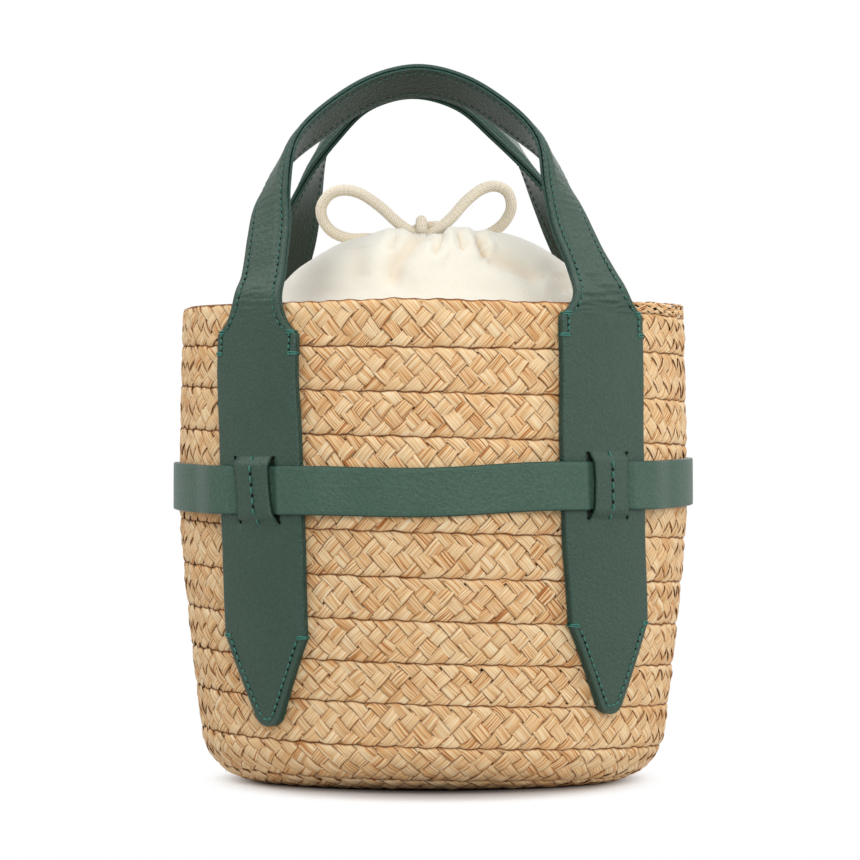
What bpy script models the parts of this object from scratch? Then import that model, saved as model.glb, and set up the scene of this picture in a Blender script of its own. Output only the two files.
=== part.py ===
"""Oval straw basket bag with two leather handles, a belt and a drawstring pouch.

Metres, +Z up. The bag stands on z = 0, its front faces -Y and its left is -X.
"""

import math

import bmesh
import bpy
import numpy as np

# Fits between pieces
CLEARANCE = 0.0003
WELD = 0.000001
SHARP_ANGLE = math.radians(40)
SPLINE_SAMPLES = 24

# Basket, sewn from one spiral of flat braid
BASKET_WIDTH = 0.216
BASKET_DEPTH = 0.168
BASKET_HEIGHT = 0.200
BRAID_ROWS = 11
BRAID_THICKNESS = 0.0045
ROW_GROOVE = 0.0010
BASE_CORNER = 0.020
WIDEST_HEIGHT = 0.115
BASE_TAPER = 0.012
TAPER_POWER = 1.25
RIM_DRAW_IN = 0.0015
WALL_COLUMNS = 40
ROW_LINES = 3

# Leather tabs, sewn to the wall
TAB_SHARE = 0.6528
TAB_WIDTH = 0.040
TAB_LEATHER = 0.0019
TAB_LINING = 0.0014
TAB_TIP_HEIGHT = 0.027
TAB_POINT_LENGTH = 0.037
TAB_TIP_RADIUS = 0.0065
TIP_START = math.radians(165)
TIP_ROWS = 3
FLARE_DROP = 0.0125
FLARE_LENGTH = 0.0065

# The tabs of the left (-1) and the right (1) are sewn on by hand: how far each sits above its
# height, and how far its centre line strays to the middle of the bag at each height
TAB_LIFTS = {-1: -0.0005, 1: 0.0045}
TAB_STRAY = {
    -1: ((0.027, 0.0012), (0.065, 0.0014), (0.107, 0.0031), (0.144, 0.0019), (0.170, 0.0)),
    1: (
        (0.027, -0.0086), (0.065, -0.0064), (0.083, -0.0041),
        (0.107, -0.0008), (0.144, 0.0004), (0.170, 0.0),
    ),
}

# Belt, threaded under a bridge in each tab
BELT_HEIGHT = 0.124
BELT_WIDTH = 0.020
BELT_THICKNESS = 0.0020
BRIDGE_WIDTH = 0.0164
SLIT_WIDTH = 0.0035
SLIT_OVERRUN = 0.0030
BELT_RAMP = 0.011
BELT_STATIONS = 8
BELT_LIFTS = {-1: -0.0005, 1: 0.0014}
BELT_SIDE_RISE = 0.0010
BELT_FACE_SAG = 0.0015

# Handles, hinged where the strap leaves the rim
STRAP_WIDTH = 0.021
STRAP_LEATHER = 0.0017
STRAP_LINING = 0.0013
CORE_WIDTH = 0.0125
CORE_THICKNESS = 0.0010
HINGE_ABOVE_RIM = 0.0015
NECK_HALF_LENGTH = 0.012
NECK_ROWS = 8
NECK_COLUMNS = 7
HANDLE_RISE = 0.0945
HANDLE_GAP = 0.004
STRAP_STATIONS = 28
ARCH = (
    (1.000, -0.13), (0.995, 0.00), (0.957, 0.113), (0.893, 0.296), (0.847, 0.469),
    (0.745, 0.673), (0.532, 0.829), (0.280, 0.950), (0.0, 1.0),
)
TURN_START = 0.25
TURN_END = 0.85
FRONT_SKEW = -0.0059
FRONT_SKEW_SHARE = 0.50
BACK_SKEW = -0.0087
BACK_SKEW_SHARE = 1.0
BACK_PINCH = 0.16

# Pouch of cotton cloth
CLOTH = 0.0015
POUCH_EASE = 0.0008
CROWN_EDGE_DROP = 0.014
MOUTH_RADIUS = 0.021
CROWN = (
    (0.0, 0.0258), (0.09, 0.0285), (0.21, 0.0277), (0.34, 0.0232), (0.45, 0.0172),
    (0.54, 0.0092), (0.645, 0.0002), (0.84, -0.0100), (1.0, -0.0140),
)
CROWN_TILT = 0.25
CROWN_COLUMNS = 48
PLEATS = 12
PLEAT_HEIGHT = 0.0012
HEM_RADIUS = 0.015
HEM_THICKNESS = 0.0086
HEM_RUFFLE = 0.0005
HEM_LIFT = 0.0256
HEM_TILT = 0.12
HEM_GAP_ANGLE = math.radians(80)
HEM_STATIONS = 34
HEM_SIDES = 8

# Drawstring, tied in a bow
CORD = 0.0048
KNOT_SIZE = (0.0104, 0.0130, 0.0130)
KNOT_CENTRE = (-0.0040, 0.0005, 0.2333)
TAIL_KNOT = 0.0085
CORD_STEP = 0.0060
CORD_ROUND_SAMPLES = 2
KNOT_SIDES = 12
KNOT_RINGS = 8

# Sewing thread
THREAD = 0.0008
THREAD_ROUND_SAMPLES = 1
STITCH_INSET = 0.0028
TIP_STITCH_RISE = 0.0045
SHOULDER_SEAM = 0.0110

COLOURS = {
    "straw": ((0.62, 0.39, 0.19), 0.75),
    "leather": ((0.08, 0.125, 0.097), 0.45),
    "lining": ((0.046, 0.055, 0.042), 0.60),
    "core": ((0.45, 0.40, 0.32), 0.90),
    "cotton": ((0.86, 0.82, 0.70), 0.90),
    "cord": ((0.72, 0.65, 0.52), 0.85),
    "thread": ((0.03, 0.16, 0.12), 0.50),
}

# Heights and layers that follow from the sizes above. Layers are distances out of the wall's face.
ROW_PITCH = BASKET_HEIGHT / BRAID_ROWS
HINGE_HEIGHT = BASKET_HEIGHT + HINGE_ABOVE_RIM
TAB_TOP = HINGE_HEIGHT - NECK_HALF_LENGTH
LEG_START = HINGE_HEIGHT + NECK_HALF_LENGTH
FLARE_START = BASKET_HEIGHT - FLARE_DROP
TAB_SHOULDER = TAB_TIP_HEIGHT + TAB_POINT_LENGTH
BELT_LOW = BELT_HEIGHT - BELT_WIDTH / 2
BELT_TOP = BELT_HEIGHT + BELT_WIDTH / 2
LINING_IN = CLEARANCE
LINING_OUT = LINING_IN + TAB_LINING
TAB_IN = LINING_OUT + CLEARANCE
TAB_OUT = TAB_IN + TAB_LEATHER
BELT_UNDER = LINING_OUT + CLEARANCE
BELT_OVER = TAB_OUT + CLEARANCE
BRIDGE_RAISE = BELT_UNDER + BELT_THICKNESS + 2 * CLEARANCE - TAB_IN
STRAP_MID = (LINING_IN + TAB_OUT) / 2
STRAP_THICKNESS = STRAP_LINING + CORE_THICKNESS + STRAP_LEATHER + 2 * CLEARANCE
LINER_DEPTH = BRAID_THICKNESS + POUCH_EASE


def ease(t):
    """Smooth step from 0 to 1."""
    t = np.clip(t, 0.0, 1.0)
    return t * t * (3.0 - 2.0 * t)


def unit(vectors):
    return vectors / np.linalg.norm(vectors, axis=-1, keepdims=True)


def material(slot):
    made = bpy.data.materials.get(slot)
    if made is None:
        colour, roughness = COLOURS[slot]
        made = bpy.data.materials.new(slot)
        made.use_nodes = True
        shader = made.node_tree.nodes["Principled BSDF"]
        shader.inputs["Base Color"].default_value = (*colour, 1.0)
        shader.inputs["Roughness"].default_value = roughness
        shader.inputs["Metallic"].default_value = 0.0
    return made


def place(name, data, slot, hinge=None):
    """Link an object made from mesh or curve data, on its hinge empty if it moves."""
    data.materials.append(material(slot))
    made = bpy.data.objects.new(name, data)
    bpy.context.collection.objects.link(made)
    made.parent = hinge
    return made


def solid(name, points, faces, slot, hinge=None):
    """One closed mesh object, its doubles merged and its faces turned outwards."""
    origin = np.zeros(3) if hinge is None else np.array(hinge.location)
    mesh = bpy.data.meshes.new(name)
    mesh.from_pydata((np.asarray(points) - origin).tolist(), [], faces)
    shell = bmesh.new()
    shell.from_mesh(mesh)
    bmesh.ops.remove_doubles(shell, verts=shell.verts, dist=WELD)
    bmesh.ops.recalc_face_normals(shell, faces=shell.faces)
    shell.to_mesh(mesh)
    shell.free()
    mesh.shade_smooth()
    mesh.set_sharp_from_angle(angle=SHARP_ANGLE)
    return place(name, mesh, slot, hinge)


def plate(name, outer, inner, slot, cut=(), wrap=False, hinge=None):
    """A sheet with thickness between two point grids. Cells named in `cut` are holes, and wrap
    joins the last column to the first. Every cell is split along the same diagonal, so that
    sheets laid on each other keep their distance where they twist."""
    rows, columns = outer.shape[:2]
    across = columns if wrap else columns - 1
    kept = {(row, column) for row in range(rows - 1) for column in range(across)} - set(cut)
    top = np.arange(rows * columns).reshape(rows, columns)
    under = top + rows * columns
    faces = []
    for row, column in sorted(kept):
        after = (column + 1) % columns
        ring = ((row, column), (row, after), (row + 1, after), (row + 1, column))
        for half in ((0, 1, 2), (0, 2, 3)):
            faces.append([int(top[ring[corner]]) for corner in half])
            faces.append([int(under[ring[corner]]) for corner in reversed(half)])
        left = (column - 1) % columns if wrap else column - 1
        right = after if wrap else column + 1
        beside = ((row - 1, column), (row, right), (row + 1, column), (row, left))
        for edge, neighbour in enumerate(beside):
            if neighbour not in kept:
                near, far = ring[edge], ring[(edge + 1) % 4]
                faces.append([int(top[far]), int(top[near]), int(under[near]), int(under[far])])
    points = np.concatenate([outer.reshape(-1, 3), inner.reshape(-1, 3)])
    return solid(name, points, faces, slot, hinge)


def smooth_route(route, step):
    """Evenly spaced points on a Catmull-Rom curve through the route's own points."""
    route = np.asarray(route, dtype=float)
    padded = np.vstack([2 * route[0] - route[1], route, 2 * route[-1] - route[-2]])
    t = np.linspace(0.0, 1.0, SPLINE_SAMPLES, endpoint=False)[:, None]
    spans = []
    for before, start, end, after in zip(padded, padded[1:], padded[2:], padded[3:]):
        slope_in, slope_out = (end - before) / 2, (after - start) / 2
        spans.append(
            start * (2 * t**3 - 3 * t**2 + 1) + end * (3 * t**2 - 2 * t**3)
            + slope_in * (t**3 - 2 * t**2 + t) + slope_out * (t**3 - t**2)
        )
    dense = np.vstack([*spans, route[-1:]])
    run = np.concatenate([[0.0], np.cumsum(np.linalg.norm(np.diff(dense, axis=0), axis=1))])
    places = np.linspace(0.0, run[-1], max(2, round(run[-1] / step) + 1))
    return np.stack([np.interp(places, run, dense[:, axis]) for axis in range(3)], axis=1)


def tube(name, points, diameter, slot, sides_step):
    """A round tube with filled ends along a polyline."""
    curve = bpy.data.curves.new(name, "CURVE")
    curve.dimensions = "3D"
    curve.bevel_depth = diameter / 2
    curve.bevel_resolution = sides_step
    curve.use_fill_caps = True
    spline = curve.splines.new("POLY")
    spline.points.add(len(points) - 1)
    for point, place_at in zip(spline.points, points):
        point.co = (*place_at, 1.0)
    return place(name, curve, slot)


def side_inset(z):
    """How far the side has drawn in from its widest line: a taper below it, a soft curve above."""
    below = np.clip((WIDEST_HEIGHT - z) / WIDEST_HEIGHT, 0.0, None) ** TAPER_POWER
    above = np.clip((z - WIDEST_HEIGHT) / (BASKET_HEIGHT - WIDEST_HEIGHT), 0.0, None) ** 2
    return BASE_TAPER * below + RIM_DRAW_IN * above


def half_axes(z, out):
    """Half width and half depth at height z of a skin that lies `out` beyond the wall's face."""
    radius = BASE_CORNER + out
    rise = np.clip(BASE_CORNER - z, 0.0, radius)
    corner = radius - np.sqrt(radius**2 - rise**2)
    inset = side_inset(z) + corner - out
    return BASKET_WIDTH / 2 - inset, BASKET_DEPTH / 2 - inset


def skin(angle, z, out):
    """Points of that skin, by the angle of its oval, counted from +X."""
    half_width, half_depth = half_axes(z, out)
    angle, z = np.broadcast_arrays(angle, z)
    return np.stack([half_width * np.cos(angle), half_depth * np.sin(angle), z], axis=-1)


TAB_ANGLE = math.asin(TAB_SHARE)


def tab_pace(z):
    """Length along a tab's skin for each radian of the oval's angle."""
    half_width, half_depth = half_axes(z, STRAP_MID)
    return np.hypot(half_width * math.cos(TAB_ANGLE), half_depth * math.sin(TAB_ANGLE))


def tab_middle(side, z):
    """Angle of a tab's centre line from the middle of its face."""
    heights, shifts = zip(*TAB_STRAY[side])
    return TAB_ANGLE - np.interp(z, heights, shifts) / tab_pace(z)


def wall_strip(side, u, z, out):
    """Points of a front tab's skin: u runs along the wall from the tab's centre line towards the
    middle of the bag, and side is -1 on the left and 1 on the right."""
    return skin(-math.pi / 2 + side * (tab_middle(side, z) - u / tab_pace(z)), z, out)


def to_face(points, face):
    """Front points as they are, or turned over to the back of the bag."""
    return points if face == "front" else points * np.array([1.0, -1.0, 1.0])


def oval_faces(rings, columns):
    """Quads between neighbouring rings of the same number of points."""
    faces = []
    for ring in range(rings - 1):
        for column in range(columns):
            after = (column + 1) % columns
            low, high = ring * columns, (ring + 1) * columns
            faces.append([low + column, low + after, high + after, high + column])
    return faces


def spiral_edge(turns):
    """Height of the braid's lower edge, this many turns along: flat for the first turn and after
    the last, and one row up with each turn between them."""
    return np.clip((turns - 1.0) * ROW_PITCH, 0.0, BASKET_HEIGHT)


def make_basket():
    """The wall: a spiral of rows, each bulging between two grooves, and a smooth inside."""
    part_turn = np.arange(WALL_COLUMNS) / WALL_COLUMNS
    angle = -math.pi / 2 + TAB_ANGLE - 2 * math.pi * part_turn
    points, faces = [], []
    lines = (BRAID_ROWS + 1) * ROW_LINES + 1
    for line in range(lines):
        row, step = divmod(line, ROW_LINES)
        low, high = spiral_edge(row + part_turn), spiral_edge(row + 1 + part_turn)
        z = low + (high - low) * step / ROW_LINES
        between = (z > WELD) & (z < BASKET_HEIGHT - WELD)
        fullness = np.clip((high - low) / ROW_PITCH, 0.0, 1.0) if step else 0.0
        groove = ROW_GROOVE * (1.0 - fullness) * between
        points.append(skin(angle, z, -groove))
    for line in range(lines - 1):
        for column in range(WALL_COLUMNS):
            after = (column + 1) % WALL_COLUMNS
            climb = ROW_LINES if after == 0 else 0
            low = min(line + climb, lines - 1)
            high = min(line + 1 + climb, lines - 1)
            corners = [
                line * WALL_COLUMNS + column, low * WALL_COLUMNS + after,
                high * WALL_COLUMNS + after, (line + 1) * WALL_COLUMNS + column,
            ]
            faces.append(list(dict.fromkeys(corners)))
    inner_heights = (BASKET_HEIGHT, WIDEST_HEIGHT, (WIDEST_HEIGHT + BASE_CORNER) / 2,
                     BASE_CORNER, BASE_CORNER / 2, BASE_CORNER / 4, BRAID_THICKNESS)
    first_inner = len(points)
    points += [skin(angle, np.full(WALL_COLUMNS, z), -BRAID_THICKNESS) for z in inner_heights]
    chain = [first_inner - 1, *range(first_inner, len(points)), 0]
    for low, high in zip(chain, chain[1:]):
        for column in range(WALL_COLUMNS):
            after = (column + 1) % WALL_COLUMNS
            faces.append([low * WALL_COLUMNS + column, low * WALL_COLUMNS + after,
                          high * WALL_COLUMNS + after, high * WALL_COLUMNS + column])
    solid("basket_wall", np.concatenate(points), faces, "straw")

    rim = skin(angle, np.zeros(WALL_COLUMNS), 0.0)
    rim[:, :2] *= 1.0 - 2 * CLEARANCE / np.linalg.norm(rim[:, :2], axis=1, keepdims=True)
    lifted = rim + np.array([0.0, 0.0, BRAID_THICKNESS])
    faces = oval_faces(2, WALL_COLUMNS)
    faces += [list(range(WALL_COLUMNS)), list(range(WALL_COLUMNS, 2 * WALL_COLUMNS))]
    solid("basket_base", np.concatenate([rim, lifted]), faces, "straw")


def tab_rows(side):
    """Height and half width of each row of a tab: round tip, straight point, parallel sides, and
    the first of the flare. The rows by the belt fit its bridge."""
    half = TAB_WIDTH / 2
    centre = TAB_TIP_HEIGHT + TAB_TIP_RADIUS + TAB_LIFTS[side]
    shoulder = TAB_SHOULDER + TAB_LIFTS[side]
    flare = min(FLARE_START + TAB_LIFTS[side], TAB_TOP)
    reach = math.hypot(half, shoulder - centre)
    tangent = math.atan2(half, shoulder - centre) + math.acos(TAB_TIP_RADIUS / reach)
    rows = [
        (centre + TAB_TIP_RADIUS * math.cos(turn), TAB_TIP_RADIUS * math.sin(turn))
        for turn in np.linspace(TIP_START, tangent, TIP_ROWS)
    ]
    point_end = rows[-1]
    rows += [((point_end[0] + shoulder) / 2, (point_end[1] + half) / 2)]
    rows += [(shoulder, half), ((shoulder + BELT_LOW) / 2, half)]
    rows += [(z, half) for z in bridge_rows(side)]
    rows += [((BELT_TOP + flare) / 2, half), (flare, half)]
    if flare < TAB_TOP:
        rows += [(TAB_TOP, flare_half(side, TAB_TOP))]
    return rows


def bridge_rows(side):
    """Heights of the slits' lower ends, the raised bridge's two edges and the slits' upper ends."""
    low, top = BELT_LOW + BELT_LIFTS[side], BELT_TOP + BELT_LIFTS[side]
    return low - SLIT_OVERRUN, low - CLEARANCE, top + CLEARANCE, top + SLIT_OVERRUN


def flare_half(side, z):
    """Half width above the tab's shoulders, where the leather narrows to the strap."""
    narrow = STRAP_WIDTH / 2
    above = np.maximum(z - FLARE_START - TAB_LIFTS[side], 0.0)
    return narrow + (TAB_WIDTH / 2 - narrow) * np.exp(-above / FLARE_LENGTH)


def make_tab(face, side, name):
    """A tab's outer leather, with two slits and a raised bridge between them, and its lining."""
    rows = tab_rows(side)
    z = np.array([row[0] for row in rows])[:, None]
    share = np.array([row[1] for row in rows])[:, None] / (TAB_WIDTH / 2)
    slit_in = BRIDGE_WIDTH / 2
    slit_out = slit_in + SLIT_WIDTH
    half = TAB_WIDTH / 2
    columns = np.array([-half, -slit_out, -slit_in, 0.0, slit_in, slit_out, half])
    u = columns[None, :] * share
    slit_low, raised_low, raised_top, slit_top = bridge_rows(side)
    raised = (z >= raised_low) & (z <= raised_top) & (np.abs(columns) <= slit_in)[None, :]
    lift = BRIDGE_RAISE * raised
    first = int(np.argmin(np.abs(z - slit_low)))
    cut = [(row, column) for row in range(first, first + 3) for column in (1, 4)]
    outer = wall_strip(side, u, z, TAB_OUT + lift)
    inner = wall_strip(side, u, z, TAB_IN + lift)
    plate(name, to_face(outer, face), to_face(inner, face), "leather", cut)
    outer = wall_strip(side, u, z, np.full_like(u, LINING_OUT))
    inner = wall_strip(side, u, z, np.full_like(u, LINING_IN))
    plate(name + "_lining", to_face(outer, face), to_face(inner, face), "lining")


def make_tab_threads(face, side, name):
    """Sewing thread that shows on a tab: along its point, at both shoulders and down the bridge."""
    ride = TAB_OUT + THREAD / 2 + CLEARANCE
    seam = TAB_WIDTH / 2 - STITCH_INSET
    lift = TAB_LIFTS[side]
    low = TAB_TIP_HEIGHT + TIP_STITCH_RISE + lift
    turn = TAB_TIP_RADIUS / 2
    point = [(0.0, low, 0.0), (turn, low + turn / 2, 0.0), (seam, TAB_SHOULDER + lift, 0.0)]
    mirrored = [(-u, z, flat) for u, z, flat in point[:0:-1]]
    tips = smooth_route(mirrored + point, ROW_PITCH / 4)
    laid = wall_strip(side, tips[:, 0], tips[:, 1], np.full(len(tips), ride))
    tube(name + "_tip_thread", to_face(laid, face), THREAD, "thread", THREAD_ROUND_SAMPLES)
    top = min(FLARE_START + lift, TAB_TOP - THREAD)
    for edge, u in (("outer", -seam), ("inner", seam)):
        z = np.linspace(top - SHOULDER_SEAM, top, 3)
        laid = wall_strip(side, np.full(3, u), z, np.full(3, ride))
        tube(f"{name}_{edge}_shoulder_thread", to_face(laid, face), THREAD, "thread", THREAD_ROUND_SAMPLES)
    z = np.array([BELT_LOW, BELT_HEIGHT, BELT_TOP]) + BELT_LIFTS[side]
    laid = wall_strip(side, np.zeros(3), z, np.full(3, ride + BRIDGE_RAISE))
    tube(name + "_bridge_thread", to_face(laid, face), THREAD, "thread", THREAD_ROUND_SAMPLES)


def make_belt():
    """The belt: on the wall between tabs, over each tab's edges and under its bridge. Its two ends
    meet under the bridge of the left tab at the back."""
    slit_in = BRIDGE_WIDTH / 2 - CLEARANCE
    slit_out = BRIDGE_WIDTH / 2 + SLIT_WIDTH + CLEARANCE
    edge = TAB_WIDTH / 2 + 2 * CLEARANCE
    steps = (
        (0.0, BELT_UNDER), (slit_in, BELT_UNDER),
        ((slit_in + slit_out) / 2, (BELT_UNDER + BELT_OVER) / 2),
        (slit_out, BELT_OVER), ((slit_out + edge) / 2, BELT_OVER), (edge, BELT_OVER),
        (edge + BELT_RAMP / 2, (BELT_OVER + CLEARANCE) / 2), (edge + BELT_RAMP, CLEARANCE),
    )
    quarter = math.pi / 2
    edges = np.array([BELT_LOW, BELT_TOP])
    tabs = ((-1, 1, 1), (-1, 3, -1), (1, 3, 1), (1, 5, -1))
    lifts = [BELT_LIFTS[side] for side, _, _ in tabs]
    centres = [
        quarters * quarter + way * tab_middle(side, edges + BELT_LIFTS[side])
        for side, quarters, way in tabs
    ]
    pace = tab_pace(edges)
    bows = (BELT_SIDE_RISE, -BELT_FACE_SAG) * 2
    share = np.linspace(0.0, 1.0, BELT_STATIONS)[1:-1]
    angles, outs, rises = [], [], []
    for tab, bow in enumerate(bows):
        after = (tab + 1) % len(tabs)
        centre = centres[tab]
        following = centres[after] + (4 * quarter if after == 0 else 0.0)
        start, end = centre + steps[-1][0] / pace, following - steps[-1][0] / pace
        angles += [centre + u / pace for u, _ in steps]
        angles += [start + (end - start) * t for t in share]
        angles += [following - u / pace for u, _ in reversed(steps)]
        outs += [out for _, out in steps] + [CLEARANCE] * len(share) + [out for _, out in reversed(steps)]
        climb = lifts[tab] + (lifts[after] - lifts[tab]) * ease(share) + bow * np.sin(math.pi * share) ** 2
        rises += [lifts[tab]] * len(steps) + climb.tolist() + [lifts[after]] * len(steps)
    angles = np.array(angles).T
    gap = CLEARANCE / pace
    angles[:, 0] += gap
    angles[:, -1] -= gap
    kept = np.concatenate([[True], np.diff(angles[0]) > gap[0]])
    angles, outs, rises = angles[:, kept], np.array(outs)[kept], np.array(rises)[kept]
    z = edges[:, None] + rises[None, :]
    outs = np.broadcast_to(outs, angles.shape)
    plate("belt", skin(angles, z, outs + BELT_THICKNESS), skin(angles, z, outs), "leather")


def handle_path(skew, skew_share, pinch):
    """Centre line of a front handle from its left foot to its right, with the strap's outward
    normal and the direction across its width, which points to the front edge. The handle has sunk
    sideways by the skew over this share of its rise, and its legs are drawn together by the pinch."""
    foot = wall_strip(1, 0.0, HINGE_HEIGHT, STRAP_MID)
    sway = -foot[1] - (HANDLE_GAP + STRAP_WIDTH) / 2
    lean = math.atan2(sway, HANDLE_RISE)
    legs = {-1: [], 1: []}
    for width_share, rise_share in ARCH:
        up = max(rise_share, 0.0)
        half = foot[0] * width_share * (1.0 - pinch * math.sin(math.pi * up**2))
        drift = skew * ease(up / skew_share)
        for side, leg in legs.items():
            leg.append((side * half + drift, foot[1] + up * sway, HINGE_HEIGHT + rise_share * HANDLE_RISE))
    centre = smooth_route(legs[-1] + legs[1][-2::-1], STRAP_WIDTH / 10)
    along = unit(np.gradient(centre, axis=0))
    rise = (centre[:, 2] - HINGE_HEIGHT) / HANDLE_RISE
    tilt = lean * ease(rise / TURN_START)
    facing = np.stack([np.zeros_like(tilt), -np.cos(tilt), np.sin(tilt)], axis=1)
    facing = unit(facing - along * np.sum(facing * along, axis=1, keepdims=True))
    radial = np.cross(facing, along)
    half_width, half_depth = half_axes(BASKET_HEIGHT, 0.0)
    slant = math.atan2(math.sin(TAB_ANGLE) / half_width, math.cos(TAB_ANGLE) / half_depth)
    turned = ease((rise - TURN_START) / (TURN_END - TURN_START))
    turn = (slant + (math.pi / 2 - slant) * turned)[:, None]
    normal = np.cos(turn) * facing + np.sin(turn) * radial
    return centre, normal, np.cross(along, normal)


def make_neck(face, side, name, path):
    """The leather between a tab and its handle strap, which bends when the handle is folded."""
    leg = slice(None, len(path[0]) // 2) if side < 0 else slice(None, len(path[0]) // 2 - 1, -1)
    heights = path[0][leg, 2]
    z = np.linspace(TAB_TOP + CLEARANCE, LEG_START - CLEARANCE, NECK_ROWS)
    centre, normal, across = (
        np.stack([np.interp(z, heights, values[leg, axis]) for axis in range(3)], axis=1)[:, None, :]
        for values in path
    )
    u = np.linspace(-1.0, 1.0, NECK_COLUMNS)[None, :] * flare_half(side, z)[:, None]
    blend = ease((z - TAB_TOP) / (LEG_START - TAB_TOP))[:, None, None]
    layers = []
    for low, high in ((TAB_OUT, STRAP_THICKNESS / 2), (LINING_IN, -STRAP_THICKNESS / 2)):
        on_wall = wall_strip(side, u, z[:, None] + 0 * u, np.full_like(u, low))
        on_strap = centre + across * u[:, :, None] + normal * high
        layers.append(to_face(on_wall * (1 - blend) + on_strap * blend, face))
    plate(name, layers[0], layers[1], "leather")


def make_handle(face, path, hinge):
    """A handle: outer strap with a raised middle, the filler that raises it, and the lining."""
    free = path[0][:, 2] >= LEG_START
    run = np.arange(free.sum())
    stations = np.linspace(0.0, run[-1], STRAP_STATIONS)
    centre, normal, across = (
        np.stack([np.interp(stations, run, values[free][:, axis]) for axis in range(3)], axis=1)
        for values in path
    )

    def ribbon(name, columns, inner, outer, slot):
        flat = centre[:, None, :] + across[:, None, :] * np.array(columns)[None, :, None]
        layers = [
            to_face(flat + normal[:, None, :] * np.array(levels)[None, :, None], face)
            for levels in (outer, inner)
        ]
        plate(name, layers[0], layers[1], slot, hinge=hinge)

    lining_in = -STRAP_THICKNESS / 2
    lining_out = lining_in + STRAP_LINING
    core_in = lining_out + CLEARANCE
    core_out = core_in + CORE_THICKNESS
    crown_in = core_out + CLEARANCE
    edge, core = STRAP_WIDTH / 2, CORE_WIDTH / 2
    rise = crown_in - core_in
    columns = np.array([edge, core + CLEARANCE + rise, core + CLEARANCE, 0.0])
    columns = np.concatenate([-columns, columns[-2::-1]])
    crown = np.array([core_in, core_in, crown_in, crown_in, crown_in, core_in, core_in])
    level = np.ones(len(columns))
    ribbon(f"{face}_handle_strap", columns, crown, crown + STRAP_LEATHER, "leather")
    ribbon(f"{face}_handle_core", [-core, 0.0, core], [core_in] * 3, [core_out] * 3, "core")
    ribbon(f"{face}_handle_lining", columns, lining_in * level, lining_out * level, "lining")


def hinge_empty(face):
    foot = to_face(wall_strip(1, 0.0, HINGE_HEIGHT, STRAP_MID), face)
    empty = bpy.data.objects.new(f"{face}_handle_hinge", None)
    empty.location = (0.0, foot[1], foot[2])
    bpy.context.collection.objects.link(empty)
    return empty


def make_pouch_lining():
    """The cloth inside the tub: an open cup that lies against the wall and the base."""
    angle = np.linspace(0.0, 2 * math.pi, WALL_COLUMNS, endpoint=False)
    top = BASKET_HEIGHT - CROWN_EDGE_DROP - CLOTH - CLEARANCE
    floor = BRAID_THICKNESS + CLEARANCE
    middle = (BASE_CORNER / 2, BASE_CORNER, (WIDEST_HEIGHT + BASE_CORNER) / 2, WIDEST_HEIGHT)
    level = np.ones(WALL_COLUMNS)
    rings = [skin(angle, z * level, -LINER_DEPTH) for z in (floor, *middle, top)]
    within = (top, *reversed(middle), floor + CLOTH)
    rings += [skin(angle, z * level, -LINER_DEPTH - CLOTH) for z in within]
    faces = oval_faces(len(rings), WALL_COLUMNS)
    last = (len(rings) - 1) * WALL_COLUMNS
    faces += [list(range(WALL_COLUMNS)), list(range(last, last + WALL_COLUMNS))]
    solid("pouch_lining", np.concatenate(rings), faces, "cotton")


def crown_point(q, angle):
    """The crown's cloth: q runs from 0 at the drawn mouth to 1 at the basket's wall."""
    edge_width, edge_depth = half_axes(BASKET_HEIGHT - CROWN_EDGE_DROP, -LINER_DEPTH)
    x = (MOUTH_RADIUS + (edge_width - MOUTH_RADIUS) * q) * np.cos(angle)
    y = (MOUTH_RADIUS + (edge_depth - MOUTH_RADIUS) * q) * np.sin(angle)
    shares, heights = zip(*CROWN)
    pleat = PLEAT_HEIGHT * np.cos(PLEATS * angle) * (1.0 - q) ** 2
    z = BASKET_HEIGHT + np.interp(q, shares, heights) - CROWN_TILT * (1.0 - q) * y + pleat
    return np.stack([x, y, z], axis=-1)


def make_pouch_crown():
    """The gathered top of the pouch, from the wall up to the drawn mouth, which stays open."""
    q = np.array([share for share, height in reversed(CROWN)])[:, None]
    angle = np.linspace(0.0, 2 * math.pi, CROWN_COLUMNS, endpoint=False)[None, :]
    outer = crown_point(q, angle)
    plate("pouch_crown", outer, outer - np.array([0.0, 0.0, CLOTH]), "cotton", wrap=True)


def hem_line(angle):
    """Centre line of the hem, and so of the cord in it."""
    y = HEM_RADIUS * np.sin(angle)
    z = BASKET_HEIGHT + HEM_LIFT - HEM_TILT * y
    return np.stack([HEM_RADIUS * np.cos(angle), y, z], axis=-1)


def make_hem():
    """The ruffled hem round the mouth: a channel for the cord, open at the back, where the cord
    comes out at both ends."""
    gap = HEM_GAP_ANGLE / 2
    turn = np.linspace(gap, 2 * math.pi - gap, HEM_STATIONS) + math.pi / 2
    around = np.linspace(0.0, 2 * math.pi, HEM_SIDES, endpoint=False)
    radial = np.stack([np.cos(turn), np.sin(turn), np.zeros(HEM_STATIONS)], axis=1)[:, None, :]
    upright = np.array([0.0, 0.0, 1.0])
    spokes = radial * np.cos(around)[None, :, None] + upright * np.sin(around)[None, :, None]
    ruffle = HEM_THICKNESS / 2 + HEM_RUFFLE * np.cos(PLEATS * turn)
    line = hem_line(turn)[:, None, :]
    outer = line + spokes * ruffle[:, None, None]
    bore = line + spokes * (CORD / 2 + CLEARANCE)
    plate("pouch_hem", outer, bore, "cotton", wrap=True)
    tube("drawstring_in_hem", hem_line(turn[1:-1]), CORD, "cord", CORD_ROUND_SAMPLES)


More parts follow.
